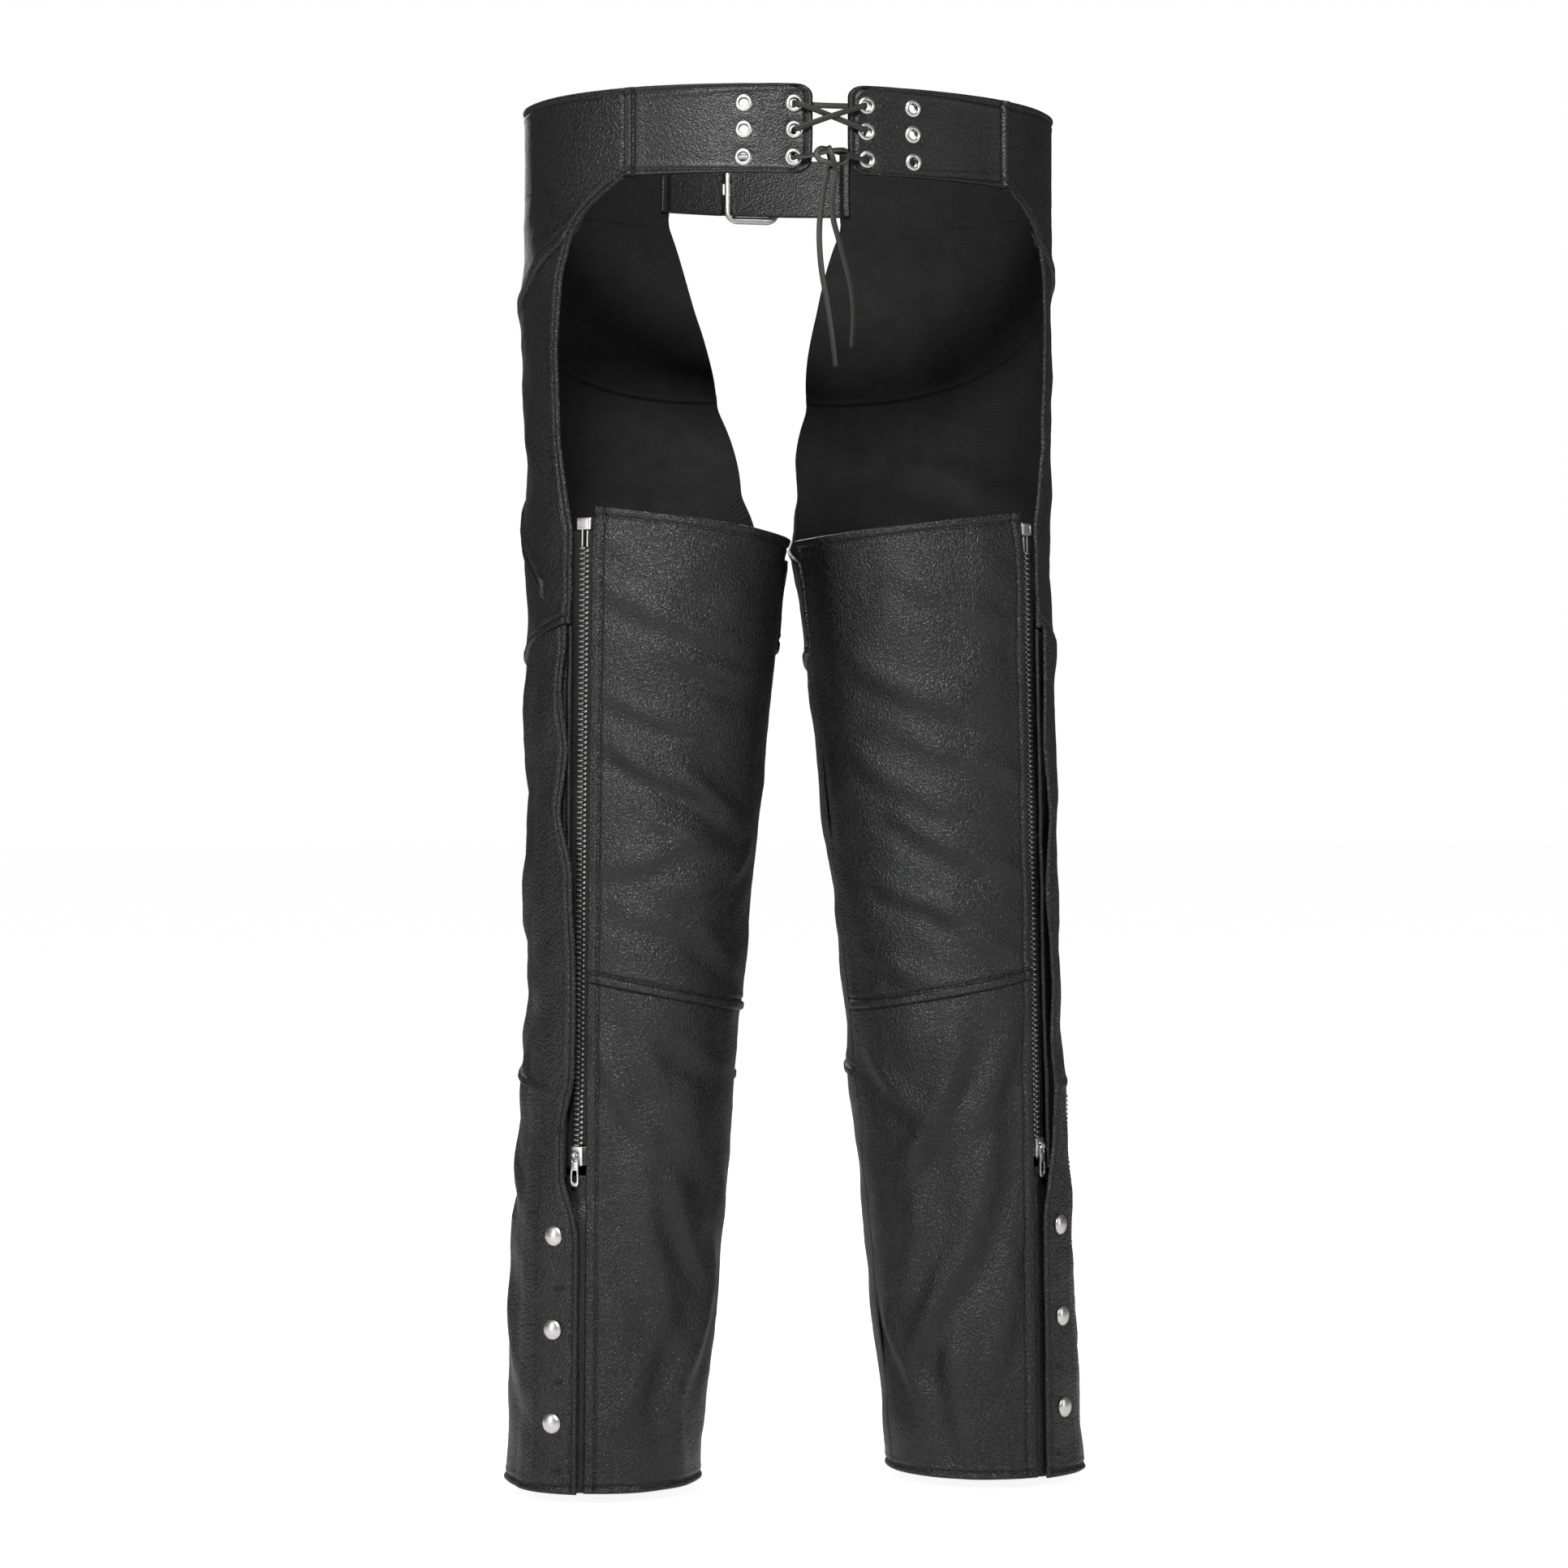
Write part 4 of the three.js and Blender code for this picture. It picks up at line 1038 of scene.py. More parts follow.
# Plating that has been handled: fine scratches down its length, and duller patches.
plate_wear = bpy.data.node_groups.new("plate_wear", "ShaderNodeTree")
socket(plate_wear, "Scratch Size", "Float", "INPUT", 420.0)
socket(plate_wear, "Patch Size", "Float", "INPUT", 190.0)
socket(plate_wear, "Scratches", "Float", "OUTPUT")
socket(plate_wear, "Patches", "Float", "OUTPUT")
asked = plate_wear.nodes.new("NodeGroupInput")
given = plate_wear.nodes.new("NodeGroupOutput")
spot = node(plate_wear, "TexCoord")
stretch = node(plate_wear, "Mapping")
stretch.inputs["Scale"].default_value = (1.0, 1.0, 9.0)
wire(plate_wear, spot.outputs["Object"], stretch.inputs["Vector"])
scratched = node(plate_wear, "TexNoise")
scratched.inputs["Detail"].default_value = 4.0
wire(plate_wear, stretch.outputs["Vector"], scratched.inputs["Vector"])
wire(plate_wear, asked.outputs["Scratch Size"], scratched.inputs["Scale"])
rubbed = node(plate_wear, "TexNoise")
wire(plate_wear, spot.outputs["Object"], rubbed.inputs["Vector"])
wire(plate_wear, asked.outputs["Patch Size"], rubbed.inputs["Scale"])
wire(plate_wear, scratched.outputs["Fac"], given.inputs["Scratches"])
wire(plate_wear, rubbed.outputs["Fac"], given.inputs["Patches"])


def metal_finish(name, colour, roughness, scratch):
    """Nickel plate over pressed or cast metal, worn by handling."""
    made = bpy.data.materials.new(name)
    made.use_nodes = True
    tree = made.node_tree
    shader = tree.nodes["Principled BSDF"]
    shader.inputs["Metallic"].default_value = 1.0
    wear = tree.nodes.new("ShaderNodeGroup")
    wear.node_tree = plate_wear
    tone = node(tree, "Mix", data_type="RGBA")
    tone.inputs["A"].default_value = (*[c * 0.78 for c in colour], 1)
    tone.inputs["B"].default_value = (*colour, 1)
    wire(tree, wear.outputs["Patches"], tone.inputs["Factor"])
    wire(tree, tone.outputs["Result"], shader.inputs["Base Color"])
    wire(tree, ranged(tree, wear.outputs["Scratches"], 0.3, 0.7, roughness - 0.06, roughness + 0.12),
         shader.inputs["Roughness"])
    bump = node(tree, "Bump")
    bump.inputs["Distance"].default_value = scratch
    wire(tree, wear.outputs["Scratches"], bump.inputs["Height"])
    wire(tree, bump.outputs["Normal"], shader.inputs["Normal"])
    return made


nickel_worn = metal_finish("nickel_worn", (0.36, 0.355, 0.345), 0.36, 0.00004)


def tooth(side, y):
    """One pressed tooth: a jaw clamped on the tape, a waist, and a hooked head over the middle."""
    outline = [(4.1, 0.95), (4.1, -0.95), (2.2, -1.05), (1.4, -0.62), (-0.2, -0.8), (-0.75, -0.4),
               (-0.75, 0.4), (-0.2, 0.8), (1.4, 0.62), (2.2, 1.05)]
    points = []
    for level, inset in ((-1.9, 0.85), (-1.65, 1.0), (1.65, 1.0), (1.9, 0.85)):
        for x, t in outline:
            points.append((side * (1.5 + (x - 1.5) * inset), y + t * inset, CHAIN_DEEP + level))
    faces = capped(4, len(outline))
    if side > 0:
        faces = [f[::-1] for f in faces]
    return points, faces


for tag in ("L", "R"):
    front_teeth = [tooth(-1, y) for y in np.arange(CHAIN_FIRST - 1.5, -ZIP_LENGTH + 2, -TOOTH_PITCH)]
    zip_piece("zip_teeth_front", tag, front_teeth, nickel_worn, "root")
    half_pitch_on = CHAIN_FIRST - 1.5 - TOOTH_PITCH / 2
    back_teeth = [tooth(1, y) for y in np.arange(half_pitch_on, BACK_HALF_FOOT + 1, -TOOTH_PITCH)]
    zip_piece("zip_teeth_back", tag, back_teeth, nickel_worn, f"back_panel_{tag}")

# ---------------------------------------------------------------------------
# Zip boxes and pins. A plain cast box at the top of each zip with a raised rim,
# the fixed pin pressed into it, and the insertion pin of the back half.
# ---------------------------------------------------------------------------
nickel_satin = metal_finish("nickel_satin", (0.72, 0.71, 0.69), 0.32, 0.00004)
nickel_bright = metal_finish("nickel_bright", (0.72, 0.71, 0.69), 0.3, 0.00002)


def rounded_block(size, middle, bevel, segments=2):
    """Points and faces of a box with rounded edges, in the zip's frame."""
    work = bmesh.new()
    bmesh.ops.create_cube(work, size=1.0)
    bmesh.ops.scale(work, vec=size, verts=work.verts)
    bmesh.ops.bevel(work, geom=list(work.edges), offset=bevel, segments=segments, affect="EDGES", profile=0.6)
    bmesh.ops.translate(work, vec=middle, verts=work.verts)
    work.verts.ensure_lookup_table()
    points = [tuple(v.co) for v in work.verts]
    faces = [tuple(v.index for v in f.verts) for f in work.faces]
    work.free()
    return points, faces


for tag in ("L", "R"):
    plate_z = CHAIN_DEEP + 2.7
    box_blocks = [
        rounded_block((13, BOX_TALL, 5.2), (0, -BOX_TALL / 2, CHAIN_DEEP), 0.9, 3),
        rounded_block((9.6, 0.5, 0.5), (0, -1.6, plate_z - 0.05), 0.18),
        rounded_block((9.6, 0.5, 0.5), (0, -BOX_TALL + 1.6, plate_z - 0.05), 0.18),
        rounded_block((0.5, 6.3, 0.5), (-4.6, -BOX_TALL / 2, plate_z - 0.05), 0.18),
        rounded_block((0.5, 6.3, 0.5), (4.6, -BOX_TALL / 2, plate_z - 0.05), 0.18),
    ]
    zip_piece("zip_box_cast", tag, box_blocks, nickel_satin, "root", [f"zip_box_{tag}"])
    fixed_pin = [rounded_block((1.7, 13, 2.6), (-2.2, -BOX_TALL - 6, CHAIN_DEEP), 0.5)]
    zip_piece("zip_fixed_pin", tag, fixed_pin, nickel_bright, "root")
    loose_pin = [rounded_block((1.7, 12, 2.6), (2.2, -BOX_TALL - 6.6, CHAIN_DEEP), 0.5)]
    zip_piece("zip_insertion_pin", tag, loose_pin, nickel_bright, f"back_panel_{tag}")

# ---------------------------------------------------------------------------
# Zip sliders. Two rounded plates round the chain, a wedge between them that
# parts the rows, and an arched bridge that the pull hangs from.
# ---------------------------------------------------------------------------
CHAIN_HALF = 2.0
SLIDER_GAP = 0.4
PLATE_THICK = 1.5
PLATE_OFF = CHAIN_HALF + SLIDER_GAP + PLATE_THICK / 2
# Outline of the bridge, as (along the slider, up): over its back, then under its arch.
BRIDGE = [(3.4, 0), (3.3, 1.6), (2.6, 3.0), (1.2, 3.9), (0, 4.1), (-1.2, 3.9), (-2.6, 3.0), (-3.3, 1.6),
          (-3.4, 0), (-2.1, 0), (-2.0, 1.4), (-1.5, 2.4), (-0.7, 2.85), (0, 2.9), (0.7, 2.85), (1.5, 2.4),
          (2.0, 1.4), (2.1, 0)]

for tag in ("L", "R"):
    slider_blocks = []
    for way in (-1, 1):
        place = (0, SLIDER_REST, CHAIN_DEEP + way * PLATE_OFF)
        slider_blocks.append(rounded_block((11, 14, PLATE_THICK), place, 0.6, 3))
    slider_blocks.append(rounded_block((1.0, 13, 2 * PLATE_OFF), (0, SLIDER_REST, CHAIN_DEEP), 0.2))
    foot = CHAIN_DEEP + PLATE_OFF + 0.65
    points = []
    for x, inset in ((-1.5, 0.94), (-1.2, 1.0), (1.2, 1.0), (1.5, 0.94)):
        points += [(x, SLIDER_REST + 1 + y * inset, foot + h * inset) for y, h in BRIDGE]
    n = len(BRIDGE)
    faces = ring_faces(4, n)
    for k in range(n // 2):
        a, b, c, d = k, (k + 1) % n, n - 2 - k, n - 1 - k
        if b != c:
            faces += [(a, b, c, d), (3 * n + d, 3 * n + c, 3 * n + b, 3 * n + a)]
    slider_blocks.append((points, faces))
    zip_piece("zip_slider_cast", tag, slider_blocks, nickel_satin, f"slider_{tag}", [f"zip_slider_{tag}"])

# ---------------------------------------------------------------------------
# Zip pulls. A flat slotted tag that widens to a rounded end, stamped from plate
# with softened edges, and hung from the bridge of the slider.
# ---------------------------------------------------------------------------
BRIDGE_AXIS = 1.4
PULL_THICK = 1.5


def squared(count, power):
    """Points of a circle pushed out towards a square."""
    out = []
    for k in range(count):
        t = 2 * math.pi * k / count
        c, s = math.cos(t), math.sin(t)
        out.append((math.copysign(abs(c) ** power, c), math.copysign(abs(s) ** power, s)))
    return out


def pull_tag():
    """Points and faces of the tag, with a hole for the bridge and a long slot."""
    border = [(x * (3.3 - 0.7 * y), -11.2 + 12 * y) for x, y in squared(40, 0.45)]
    eye = [(2.1 * x, -3.0 + 2.1 * y) for x, y in squared(16, 0.5)]
    slot = [(2.0 * x, -16.0 + 4.5 * y) for x, y in squared(16, 0.5)]
    work = bmesh.new()
    loops = []
    for line in (border, eye, slot):
        corners = [work.verts.new((x, y, 0)) for x, y in line]
        loops += [work.edges.new((corners[k], corners[(k + 1) % len(corners)])) for k in range(len(corners))]
    bmesh.ops.triangle_fill(work, edges=loops, use_beauty=True)
    grown = bmesh.ops.extrude_face_region(work, geom=list(work.faces))
    lifted = [g for g in grown["geom"] if isinstance(g, bmesh.types.BMVert)]
    bmesh.ops.translate(work, vec=(0, 0, PULL_THICK), verts=lifted)
    bmesh.ops.recalc_face_normals(work, faces=work.faces)
    sharp = [e for e in work.edges if len(e.link_faces) == 2 and e.calc_face_angle() > 1.2]
    bmesh.ops.bevel(work, geom=sharp, offset=0.3, segments=2, affect="EDGES", profile=0.5)
    work.verts.index_update()
    axis_y = SLIDER_REST + 1
    axis_z = CHAIN_DEEP + CHAIN_HALF + SLIDER_GAP + PLATE_THICK + BRIDGE_AXIS
    points = [(v.co.x, v.co.y + axis_y, v.co.z + axis_z - PULL_THICK / 2) for v in work.verts]
    faces = [tuple(v.index for v in f.verts) for f in work.faces]
    work.free()
    return points, faces


for tag in ("L", "R"):
    zip_piece("zip_pull_tag", tag, [pull_tag()], nickel_satin, f"pull_{tag}", [f"zip_pull_{tag}"])

# ---------------------------------------------------------------------------
# Eyelets of the belt. Two-part rolled nickel eyelets, 13 mm across with a 7 mm
# bore, pressed through the leather and rolled over a washer at the back.
# ---------------------------------------------------------------------------
EYELET_PROFILE = [
    (3.5, -2.3), (3.5, 2.5), (3.65, 3.05), (4.1, 3.4), (4.7, 3.5), (5.4, 3.3), (6.1, 2.8), (6.5, 2.15),
    (6.5, 1.7), (6.2, 1.6), (4.5, 1.75), (4.4, 0), (4.5, -1.75), (6.3, -1.7), (6.45, -2.1), (6.2, -2.6),
    (5.2, -2.75), (4.0, -2.7),
]


def spun(name, profile, seat, finish, mirror, sides=40, closed=False):
    """A turned piece from (radius, height) pairs, on a seat of (place, outward)."""
    middle, out = seat
    out = np.asarray(out, float) / np.linalg.norm(out)
    aside = np.cross(out, (0, 0, 1))
    aside /= np.linalg.norm(aside)
    up = np.cross(aside, out)
    points, faces = [], []
    count = len(profile)
    for k in range(sides):
        t = 2 * math.pi * k / sides
        ray = aside * math.cos(t) + up * math.sin(t)
        points += [middle + ray * r + out * h for r, h in profile]
    last = count if closed else count - 1
    for k in range(sides):
        k2 = (k + 1) % sides
        for i in range(last):
            i2 = (i + 1) % count
            faces.append((k * count + i, k2 * count + i, k2 * count + i2, k * count + i2))
    points = np.array(points)
    if mirror:
        points = points * np.array([-1, 1, 1])
    made = make_piece(name, points, faces, finish)
    weld_rim(made)
    return made


def seat_at(angle, z):
    middle = on_body(np.array(float(angle)), np.array(float(z)), 0)
    return middle, on_body(np.array(float(angle)), np.array(float(z)), 1) - middle


for tag in ("L", "R"):
    number = 0
    for column in EYELET_COLUMNS:
        for row in EYELET_ROWS:
            number += 1
            seat = seat_at(90 - column, row)
            name = f"eyelet_ring_{tag}_{number}"
            ring = spun(name, EYELET_PROFILE, seat, nickel_satin, tag == "R", closed=True)
            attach(ring, "root")
            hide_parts(f"eyelet_{tag}_{number}")

# ---------------------------------------------------------------------------
# Snaps. A domed satin cap riveted through the placket to its spring socket, and
# a stud riveted through the under-lap below it, three on each leg.
# ---------------------------------------------------------------------------
# Outlines from the middle out, as (radius, height above the panel).
CAP_PROFILE = [
    (0, 3.35), (1.2, 3.3), (1.4, 3.7), (2.6, 3.7), (2.9, 3.3), (4.6, 3.3), (5.0, 3.6), (5.0, 4.3),
    (4.6, 4.6), (2.2, 4.6), (2.2, 6.6), (6.9, 6.7), (7.4, 6.95), (7.5, 7.4), (7.3, 7.85), (6.6, 8.45),
    (5.4, 9.1), (3.8, 9.65), (1.9, 9.98), (0, 10.08),
]
STUD_PROFILE = [
    (0, 0.7), (4.8, 0.7), (5.0, 1.0), (4.8, 1.45), (2.6, 1.55), (1.9, 1.8), (1.8, 2.2), (2.15, 2.5),
    (1.9, 2.8), (0, 2.9),
]

for tag in ("L", "R"):
    for number, z in enumerate(SNAP_HEIGHTS, 1):
        seat = seat_at(beside_zip(np.array(float(z)), -SNAP_INSET), z)
        cap = spun(f"snap_dome_{tag}_{number}", CAP_PROFILE, seat, nickel_satin, tag == "R")
        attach(cap, f"flap_{tag}")
        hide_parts(f"snap_cap_{tag}_{number}")
        stud = spun(f"snap_post_{tag}_{number}", STUD_PROFILE, seat, nickel_bright, tag == "R")
        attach(stud, f"back_panel_{tag}")
        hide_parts(f"snap_stud_{tag}_{number}")

# ---------------------------------------------------------------------------
# Lace in the belt. One flat strip of lace leather: a bar behind the top eyelets,
# two strands that cross over the gap, run down behind to the bottom eyelets and
# meet in an overhand knot, where the two hanging ends leave.
# ---------------------------------------------------------------------------
LACE_WIDTH = 4.2
LACE_THICKNESS = 1.9
KNOT = np.array((0.0, 153.5, -21.0))
COLUMN = EYELET_COLUMNS[0]
# Its dark and light colours are painted shade in the creases and painted highlight on the pebble tops, mixed
# with its own uneven tone.
lace_hide = leather_finish(
    "lace_hide", 900, 0.00005, (0.012, 0.012, 0.011), (0.024, 0.024, 0.0225), 0.55, 0.5)


def smooth_route(points, pieces_each):
    """A Catmull-Rom curve through the points."""
    p = np.array(points, float)
    p = np.vstack([2 * p[0] - p[1], p, 2 * p[-1] - p[-2]])
    out = []
    for i in range(1, len(p) - 2):
        for k in range(pieces_each):
            t = k / pieces_each
            out.append(0.5 * (
                2 * p[i] + (p[i + 1] - p[i - 1]) * t
                + (2 * p[i - 1] - 5 * p[i] + 4 * p[i + 1] - p[i + 2]) * t * t
                + (3 * p[i] - p[i - 1] - 3 * p[i + 1] + p[i + 2]) * t ** 3
            ))
    out.append(p[-2])
    return np.array(out)


def strip(route, facing, wide, thick, twist=None):
    """Points and faces of a flat strip with rounded edges that follows a route in millimetres."""
    sides = 12
    points = []
    count = len(route)
    for i, centre in enumerate(route):
        ahead = route[min(i + 1, count - 1)] - route[max(i - 1, 0)]
        ahead = ahead / np.linalg.norm(ahead)
        out = np.array(facing[i] if np.ndim(facing) == 2 else facing, float)
        out = out - ahead * out.dot(ahead)
        out /= np.linalg.norm(out)
        if twist is not None:
            out = np.array(Matrix.Rotation(twist[i], 3, Vector(ahead)) @ Vector(out))
        aside = np.cross(ahead, out)
        for k in range(sides):
            a = 2 * math.pi * (k + 0.5) / sides
            c, s = math.cos(a), math.sin(a)
            x = math.copysign(abs(c) ** 0.5, c) * wide / 2
            y = math.copysign(abs(s) ** 0.7, s) * thick / 2
            points.append(centre + aside * x + out * y)
    return points, capped(count, sides)


def carried(route, first):
    """The outward side of a strip, carried along its route without twisting."""
    out = np.array(first, float)
    sides = []
    for i in range(len(route)):
        ahead = route[min(i + 1, len(route) - 1)] - route[max(i - 1, 0)]
        ahead /= np.linalg.norm(ahead)
        out = out - ahead * out.dot(ahead)
        out /= np.linalg.norm(out)
        sides.append(out.copy())
    return np.array(sides)


def belt_points(spots, side):
    return [on_body(np.array(90.0 - side * a), np.array(float(z)), off) for a, z, off in spots]


lace_blocks = []
for side, over in ((1, 8.0), (-1, 5.4)):
    spots = [
        (-COLUMN, 17, -5.2), (-COLUMN, 18, 0), (-COLUMN + 0.5, 17.4, 4.4), (-COLUMN + 2.1, 15.6, 5.8),
        (0, 8.5, over), (COLUMN - 2.1, 1.4, 5.8), (COLUMN - 0.5, -0.6, 4.4), (COLUMN, -1.2, 0),
        (COLUMN, -4, -4.6),
        (COLUMN, -17, -4.8), (COLUMN, -21, 0), (COLUMN - 0.6, -21.2, 4.4), (COLUMN - 2.4, -21, 6.2),
    ]
    if side == 1:
        tie = [(12, 0.5, 1.5), (5, 2.8, 3.2), (-3, 4.0, 4.4), (-9.3, 2.6, 4.4), (-12.2, 0.2, 0.6),
               (-9.3, -1.5, -4.0), (-3, -2.0, -5.6), (1.5, -1.4, -7.2), (3.6, -0.5, -10)]
    else:
        tie = [(-12, 0.5, 1.5), (-5, 0.4, 3.0), (2, 0.0, 4.8), (8.3, 0.8, 5.8), (12.2, 1.8, 2.0),
               (10.0, 3.0, -2.8), (5, 4.0, -4.6), (0, 4.0, -6.2), (-2.3, 2.5, -10)]
    line = belt_points(spots, side) + [KNOT + np.array(t) for t in tie]
    route = smooth_route(line, 9)
    lace_blocks.append(strip(route, carried(route, (-side, 0, 0)), LACE_WIDTH, LACE_THICKNESS))
bar = belt_points([
    (-COLUMN, 19, -2.0), (-COLUMN + 0.7, 18.5, -5.2), (0, 18, -5.8), (COLUMN - 0.7, 18.5, -5.2),
    (COLUMN, 19, -2.0),
], 1)
route = smooth_route(bar, 9)
lace_blocks.append(strip(route, carried(route, (-1, 0, 0)), LACE_WIDTH, LACE_THICKNESS))
turns = np.linspace(0, 2 * math.pi, 40)
wrap = np.array([KNOT + np.array((1.2 + 2.2 * math.cos(t), 1.0 + 4.0 * math.sin(t), -0.6 + 7.4 * math.cos(t)))
                 for t in turns])
lace_blocks.append(strip(wrap, wrap - KNOT, LACE_WIDTH * 0.95, LACE_THICKNESS))
points, faces = gathered(lace_blocks)
lace_in_belt = make_piece("lace_in_belt", points, faces, lace_hide)
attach(lace_in_belt, "root")
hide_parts("lace")

# ---------------------------------------------------------------------------
# Lace ends. The same strip leaves the knot twice and hangs free. The two ends are
# cut square, one a little longer.
# ---------------------------------------------------------------------------
LACE_LEFT_END = [
    [3.6, 153, -31], [6.5, 153, -45], [9, 153, -64], [9.6, 153, -78], [9, 153, -92],
    [7.4, 153, -106], [4.8, 153, -120], [1.8, 153, -138], [-0.6, 153, -156], [-2.3, 153, -172],
]
LACE_RIGHT_END = [
    [-2.3, 156, -31], [-0.2, 156, -42], [1, 156.5, -54], [0, 157, -67], [-3.5, 157, -80],
    [-7.4, 156.5, -94], [-11.3, 156, -108], [-14.2, 155.5, -124], [-14.8, 155, -140], [-13.6, 155, -158],
]

for tag, line, far_twist in (("L", LACE_LEFT_END, 1.0), ("R", LACE_RIGHT_END, -0.8)):
    route = smooth_route(line, 10)
    bow = np.linspace(0, 1, len(route))
    points, faces = strip(route, (0, 1, 0), LACE_WIDTH, LACE_THICKNESS, far_twist * bow ** 1.5)
    end = make_piece(f"lace_hanging_{tag}", points, faces, lace_hide)
    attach(end, "root")
    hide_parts(f"lace_end_{tag}")

# ---------------------------------------------------------------------------
# Front buckle. A cast nickel frame with rounded bars and rounded corners, held at
# the end of the left strap.
# ---------------------------------------------------------------------------
BUCKLE_WIDE, BUCKLE_TALL = 44.0, 56.0
BUCKLE_FACE = -148.1
BUCKLE_CORNER = 7.0
BAR_WIDE = 6.0
BAR_THICK = 3.5


def swept_ring(line, wide, thick, sides=14):
    """A closed bar of rounded section along a ring of (x, z) points at the buckle's face."""
    points = []
    count = len(line)
    for i in range(count):
        ahead = np.array(line[(i + 1) % count]) - np.array(line[i - 1])
        ahead = ahead / np.linalg.norm(ahead)
        aside = np.array((ahead[1], -ahead[0]))
        for k in range(sides):
            t = 2 * math.pi * k / sides
            c, s = math.cos(t), math.sin(t)
            across = math.copysign(abs(c) ** 0.8, c) * wide / 2
            deep = math.copysign(abs(s) ** 0.8, s) * thick / 2
            spot = np.array(line[i]) + aside * across
            points.append((spot[0], BUCKLE_FACE - BAR_THICK / 2 + deep, spot[1]))
    return points, ring_faces(count, sides, closed=True)


half_x, half_z = (BUCKLE_WIDE - BAR_WIDE) / 2, (BUCKLE_TALL - BAR_WIDE) / 2
buckle_line = []
corners = ((half_x, half_z, 0), (-half_x, half_z, 90), (-half_x, -half_z, 180), (half_x, -half_z, 270))
for cx, cz, start in corners:
    for k in range(9):
        t = math.radians(start + 90 * k / 8)
        buckle_line.append((cx - math.copysign(BUCKLE_CORNER, cx) + BUCKLE_CORNER * math.cos(t),
                            cz - math.copysign(BUCKLE_CORNER, cz) + BUCKLE_CORNER * math.sin(t)))
points, faces = swept_ring(buckle_line, BAR_WIDE, BAR_THICK)
buckle = make_piece("buckle_frame_cast", points, faces, nickel_satin)
weld_rim(buckle)
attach(buckle, "root")
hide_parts("buckle_frame")

# ---------------------------------------------------------------------------
# Buckle prong. A tapered nickel rod bent round the bar at the left of the frame,
# with its point resting on the other bar.
# ---------------------------------------------------------------------------
PRONG_SIDES = 16
prong_route = smooth_route([
    (20.6, -152.2, 0), (20.2, -153.4, 0), (17, -153.9, 0), (8, -154.1, 0), (-6, -154.0, 0),
    (-17, -153.6, 0), (-20.6, -153.4, 0),
], 6)
points = []
for i, centre in enumerate(prong_route):
    share = i / (len(prong_route) - 1)
    radius = (1.75 - 0.55 * share ** 2) * (1 if share < 0.97 else 0.75)
    for k in range(PRONG_SIDES):
        t = 2 * math.pi * k / PRONG_SIDES
        deep, tall = radius * 0.85 * math.cos(t), radius * 1.25 * math.sin(t)
        points.append((centre[0], centre[1] + deep, centre[2] + tall))
faces = capped(len(prong_route), PRONG_SIDES)
prong = make_piece("buckle_prong_bent", points, faces, nickel_bright)
weld_rim(prong)
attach(prong, "prong")
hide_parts("buckle_prong")

# ---------------------------------------------------------------------------
# Buckle chape. Two tabs of smooth hide folded round the bar on both sides of the
# prong and stitched to the strap.
# ---------------------------------------------------------------------------
chape_blocks, chape_stitches = [], []
for middle in (12.6, -12.6):
    fold = smooth_route([
        (37, -150.6, middle), (30, -151.8, middle), (24, -153.6, middle), (19, -154.2, middle),
        (15.2, -152.2, middle), (15.0, -149.6, middle), (18, -147.8, middle),
    ], 6)
    chape_blocks.append(strip(fold, carried(fold, (0, 0, 1)), 1.8, 17.0))
    for edge in (middle - 6.6, middle + 6.6):
        sewn = np.array([(x, y - 1.0, edge) for x, y in ((36, -150.8), (31, -151.7), (27, -152.8))])
        stitch_row(sewn, np.array([(0.2, -1, 0)] * 3), chape_stitches)
points, faces = gathered(chape_blocks)
chape = make_piece("buckle_chape", points, faces, hide_smooth)
weld_rim(chape)
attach(chape, "root")
chape_thread = sew("buckle_chape_stitching", chape_stitches, False)
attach(chape_thread, "root")

# ---------------------------------------------------------------------------
# Slanted pocket on the left thigh. Two lips of the same hide, bound over the
# cut edges, with a dark slit between them and a stitched outline.
# ---------------------------------------------------------------------------
LIP_HALF = 7.5
POCKET_LONG = 110
pocket_u = np.linspace(0, 1, 60)[:, None]
pocket_v = np.linspace(-LIP_HALF, LIP_HALF, 46)[None, :]
pocket_angle = POCKET_ANGLE + POCKET_TURN * pocket_u + 0 * pocket_v
pocket_z = POCKET_TOP - POCKET_FALL * pocket_u - pocket_v
ground = on_body(pocket_angle, pocket_z, 0)
outward = on_body(pocket_angle, pocket_z, 1) - ground
from_end = np.minimum(pocket_u, 1 - pocket_u) * POCKET_LONG + 0 * pocket_v
end_fade = step(from_end, 0, 3.5)
side_fade = step(LIP_HALF - np.abs(pocket_v), 0, 1.6)
lips = 2.6 * side_fade * end_fade - 3.3 * np.exp(-(pocket_v / 2.0) ** 2) * step(from_end, 4, 8)
lips = lips - 0.5 * np.exp(-((np.abs(pocket_v) - 4.6) / 0.6) ** 2) * end_fade
lift = hang("L", pocket_angle, pocket_z, ground) + 0.75
top_side = ground + outward * (lift + lips)[..., None]
low_side = ground + outward * (lift - 0.9)[..., None]
points, faces = two_faced(top_side, low_side)
welt = make_piece("pocket_lips", points, faces, hide_smooth)
weld_rim(welt)
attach(welt, "root")
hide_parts("pocket_welt")
pocket_rows = []
for across in (-4.6, 4.6, -10.0, 10.0):
    u = np.linspace(0.03, 0.97, 30)
    a = POCKET_ANGLE + POCKET_TURN * u
    z = POCKET_TOP - POCKET_FALL * u - across
    base = on_body(a, z, 0)
    out = on_body(a, z, 1) - base
    stand = hang("L", a, z, base) + (2.95 if abs(across) < 6 else 1.05)
    stitch_row(base + out * stand[:, None], out, pocket_rows)
pocket_thread = sew("pocket_stitching", pocket_rows, False)
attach(pocket_thread, "root")

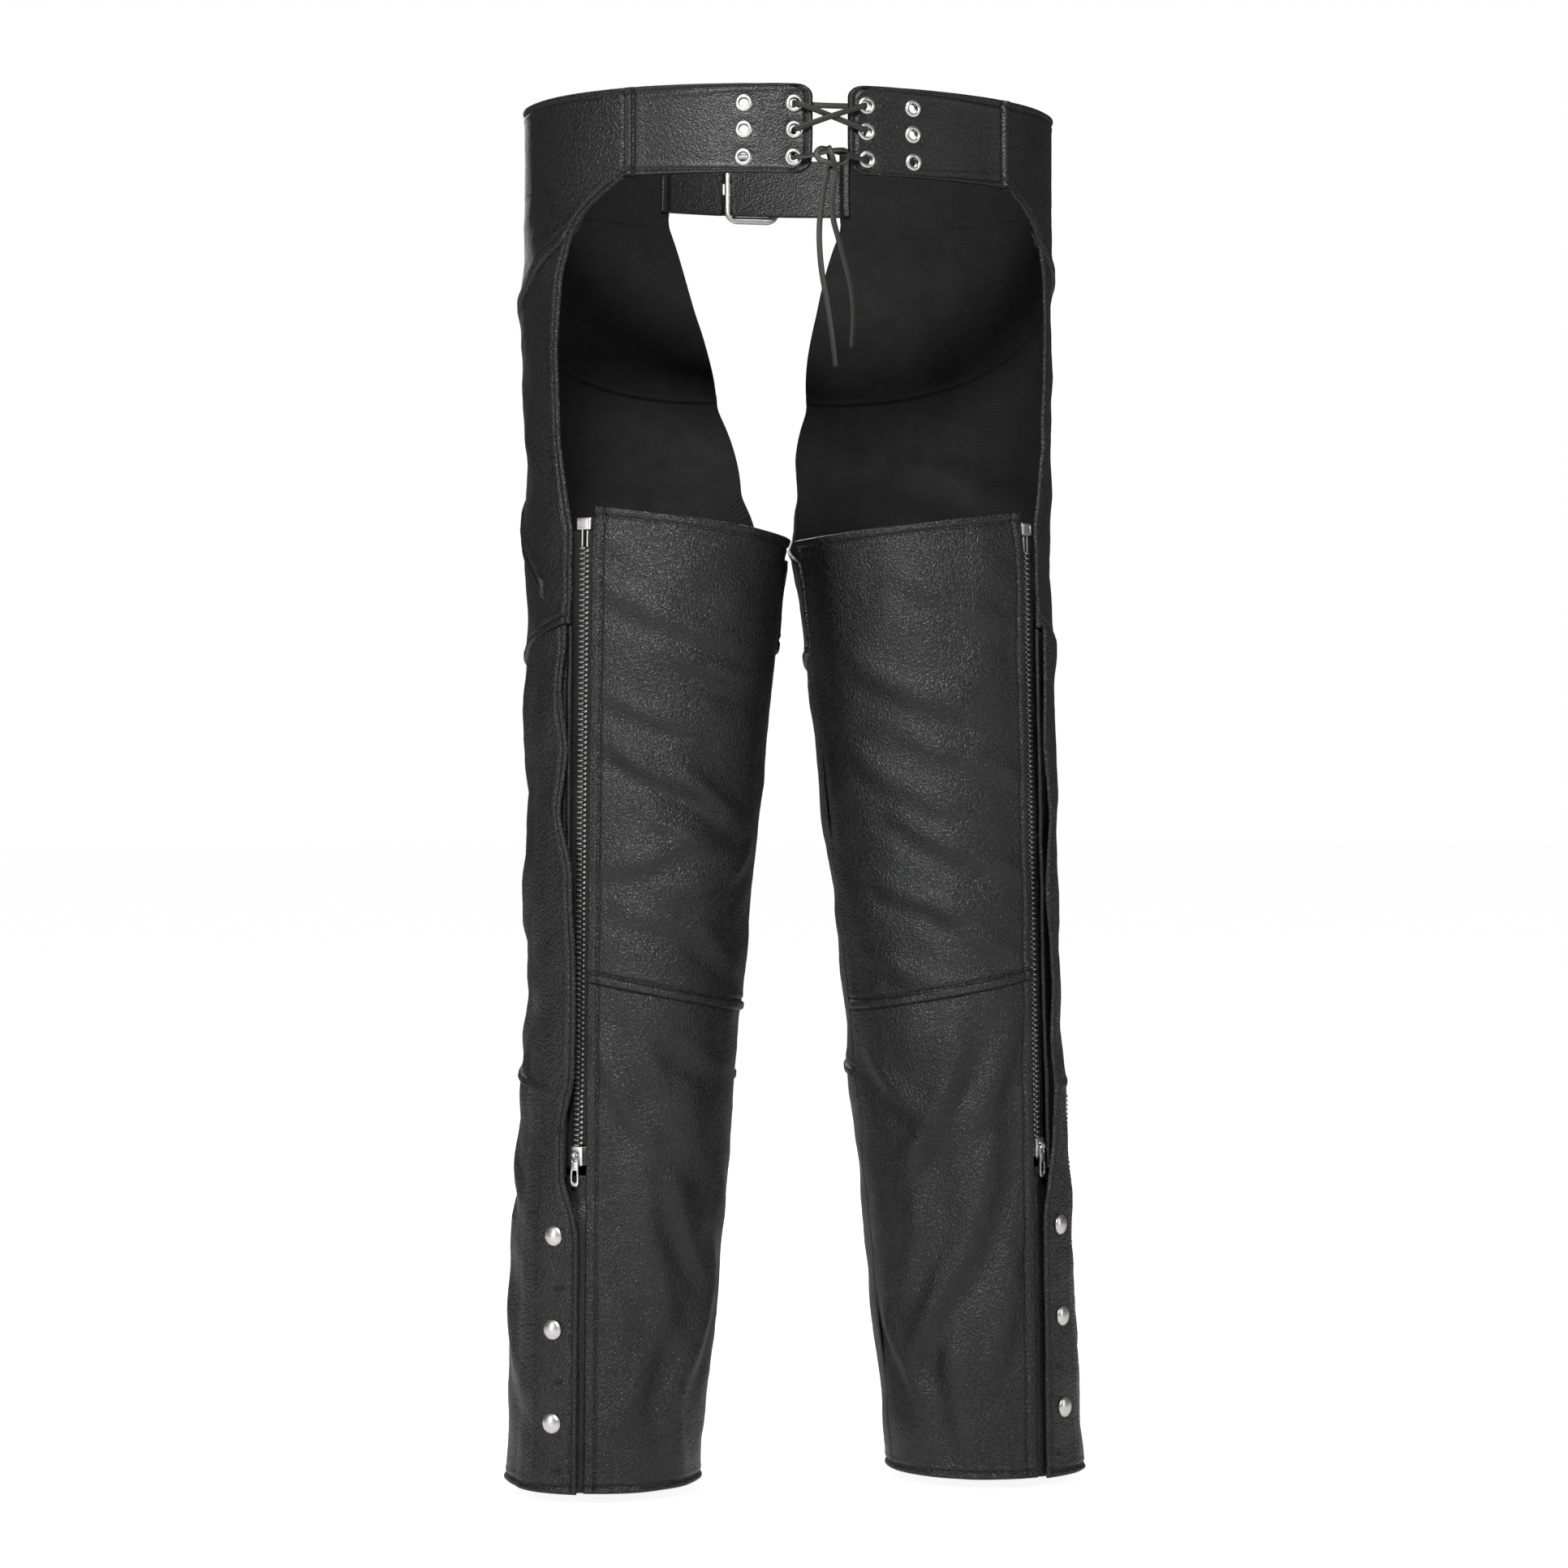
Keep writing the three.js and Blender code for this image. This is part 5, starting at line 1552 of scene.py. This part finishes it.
# ---------------------------------------------------------------------------
# Floor and surround. A large pale floor just under the hems and a white surround,
# both brighter to the eye than the light that they throw on the leather.
# ---------------------------------------------------------------------------
FLOOR_Z = -0.997

floor_mesh = bpy.data.meshes.new("floor")
floor_mesh.from_pydata([(-30, -30, FLOOR_Z), (30, -30, FLOOR_Z), (30, 30, FLOOR_Z), (-30, 30, FLOOR_Z)],
                       [], [(0, 1, 2, 3)])
floor_paint = bpy.data.materials.new("floor_paint")
floor_paint.use_nodes = True
floor_shader = floor_paint.node_tree.nodes["Principled BSDF"]
floor_shader.inputs["Base Color"].default_value = (1, 1, 1, 1)
floor_shader.inputs["Roughness"].default_value = 1.0
floor_shader.inputs["Specular IOR Level"].default_value = 0.0
floor_shader.inputs["Emission Color"].default_value = (1, 1, 1, 1)
seen = floor_paint.node_tree.nodes.new("ShaderNodeLightPath")
floor_glow = calculation(floor_paint.node_tree, "MULTIPLY", seen.outputs["Is Camera Ray"], 0.9)
wire(floor_paint.node_tree, floor_glow, floor_shader.inputs["Emission Strength"])
floor_mesh.materials.append(floor_paint)
floor = bpy.data.objects.new("floor", floor_mesh)
bpy.context.scene.collection.objects.link(floor)

surround = bpy.data.worlds.new("surround")
surround.use_nodes = True
surround.node_tree.nodes["Background"].inputs["Color"].default_value = (1, 1, 1, 1)
sky_path = surround.node_tree.nodes.new("ShaderNodeLightPath")
sky_strength = calculation(surround.node_tree, "MULTIPLY_ADD", sky_path.outputs["Is Camera Ray"], 0.91)
sky_strength.node.inputs[2].default_value = 0.09
wire(surround.node_tree, sky_strength, surround.node_tree.nodes["Background"].inputs["Strength"])
bpy.context.scene.world = surround
bpy.context.scene.view_settings.view_transform = "Standard"

# ---------------------------------------------------------------------------
# Lamps. Big soft lamps: a strong one high behind, one low on each side, and one
# in front that shows the buckle and fills the lining.
# ---------------------------------------------------------------------------
def lamp(name, place, aim, size, power):
    """A square soft lamp at a place, turned towards a point."""
    light = bpy.data.lights.new(name, "AREA")
    light.shape = "RECTANGLE"
    light.size, light.size_y = size
    light.energy = power
    made = bpy.data.objects.new(name, light)
    bpy.context.scene.collection.objects.link(made)
    made.location = place
    made.rotation_euler = (Vector(aim) - Vector(place)).to_track_quat("-Z", "Y").to_euler()


lamp("lamp_above", (0.6, 1.9, 1.1), (0.05, 0, -0.6), (0.55, 0.45), 72)
lamp("lamp_left_side", (1.9, 0.9, -0.3), (0, 0, -0.7), (0.3, 1.3), 9)
lamp("lamp_right_side", (-1.9, 1.3, -0.2), (0, 0, -0.7), (0.3, 1.3), 8)
lamp("lamp_front", (0.0, -2.6, 0.9), (0, 0, -0.5), (1.4, 1.4), 24)
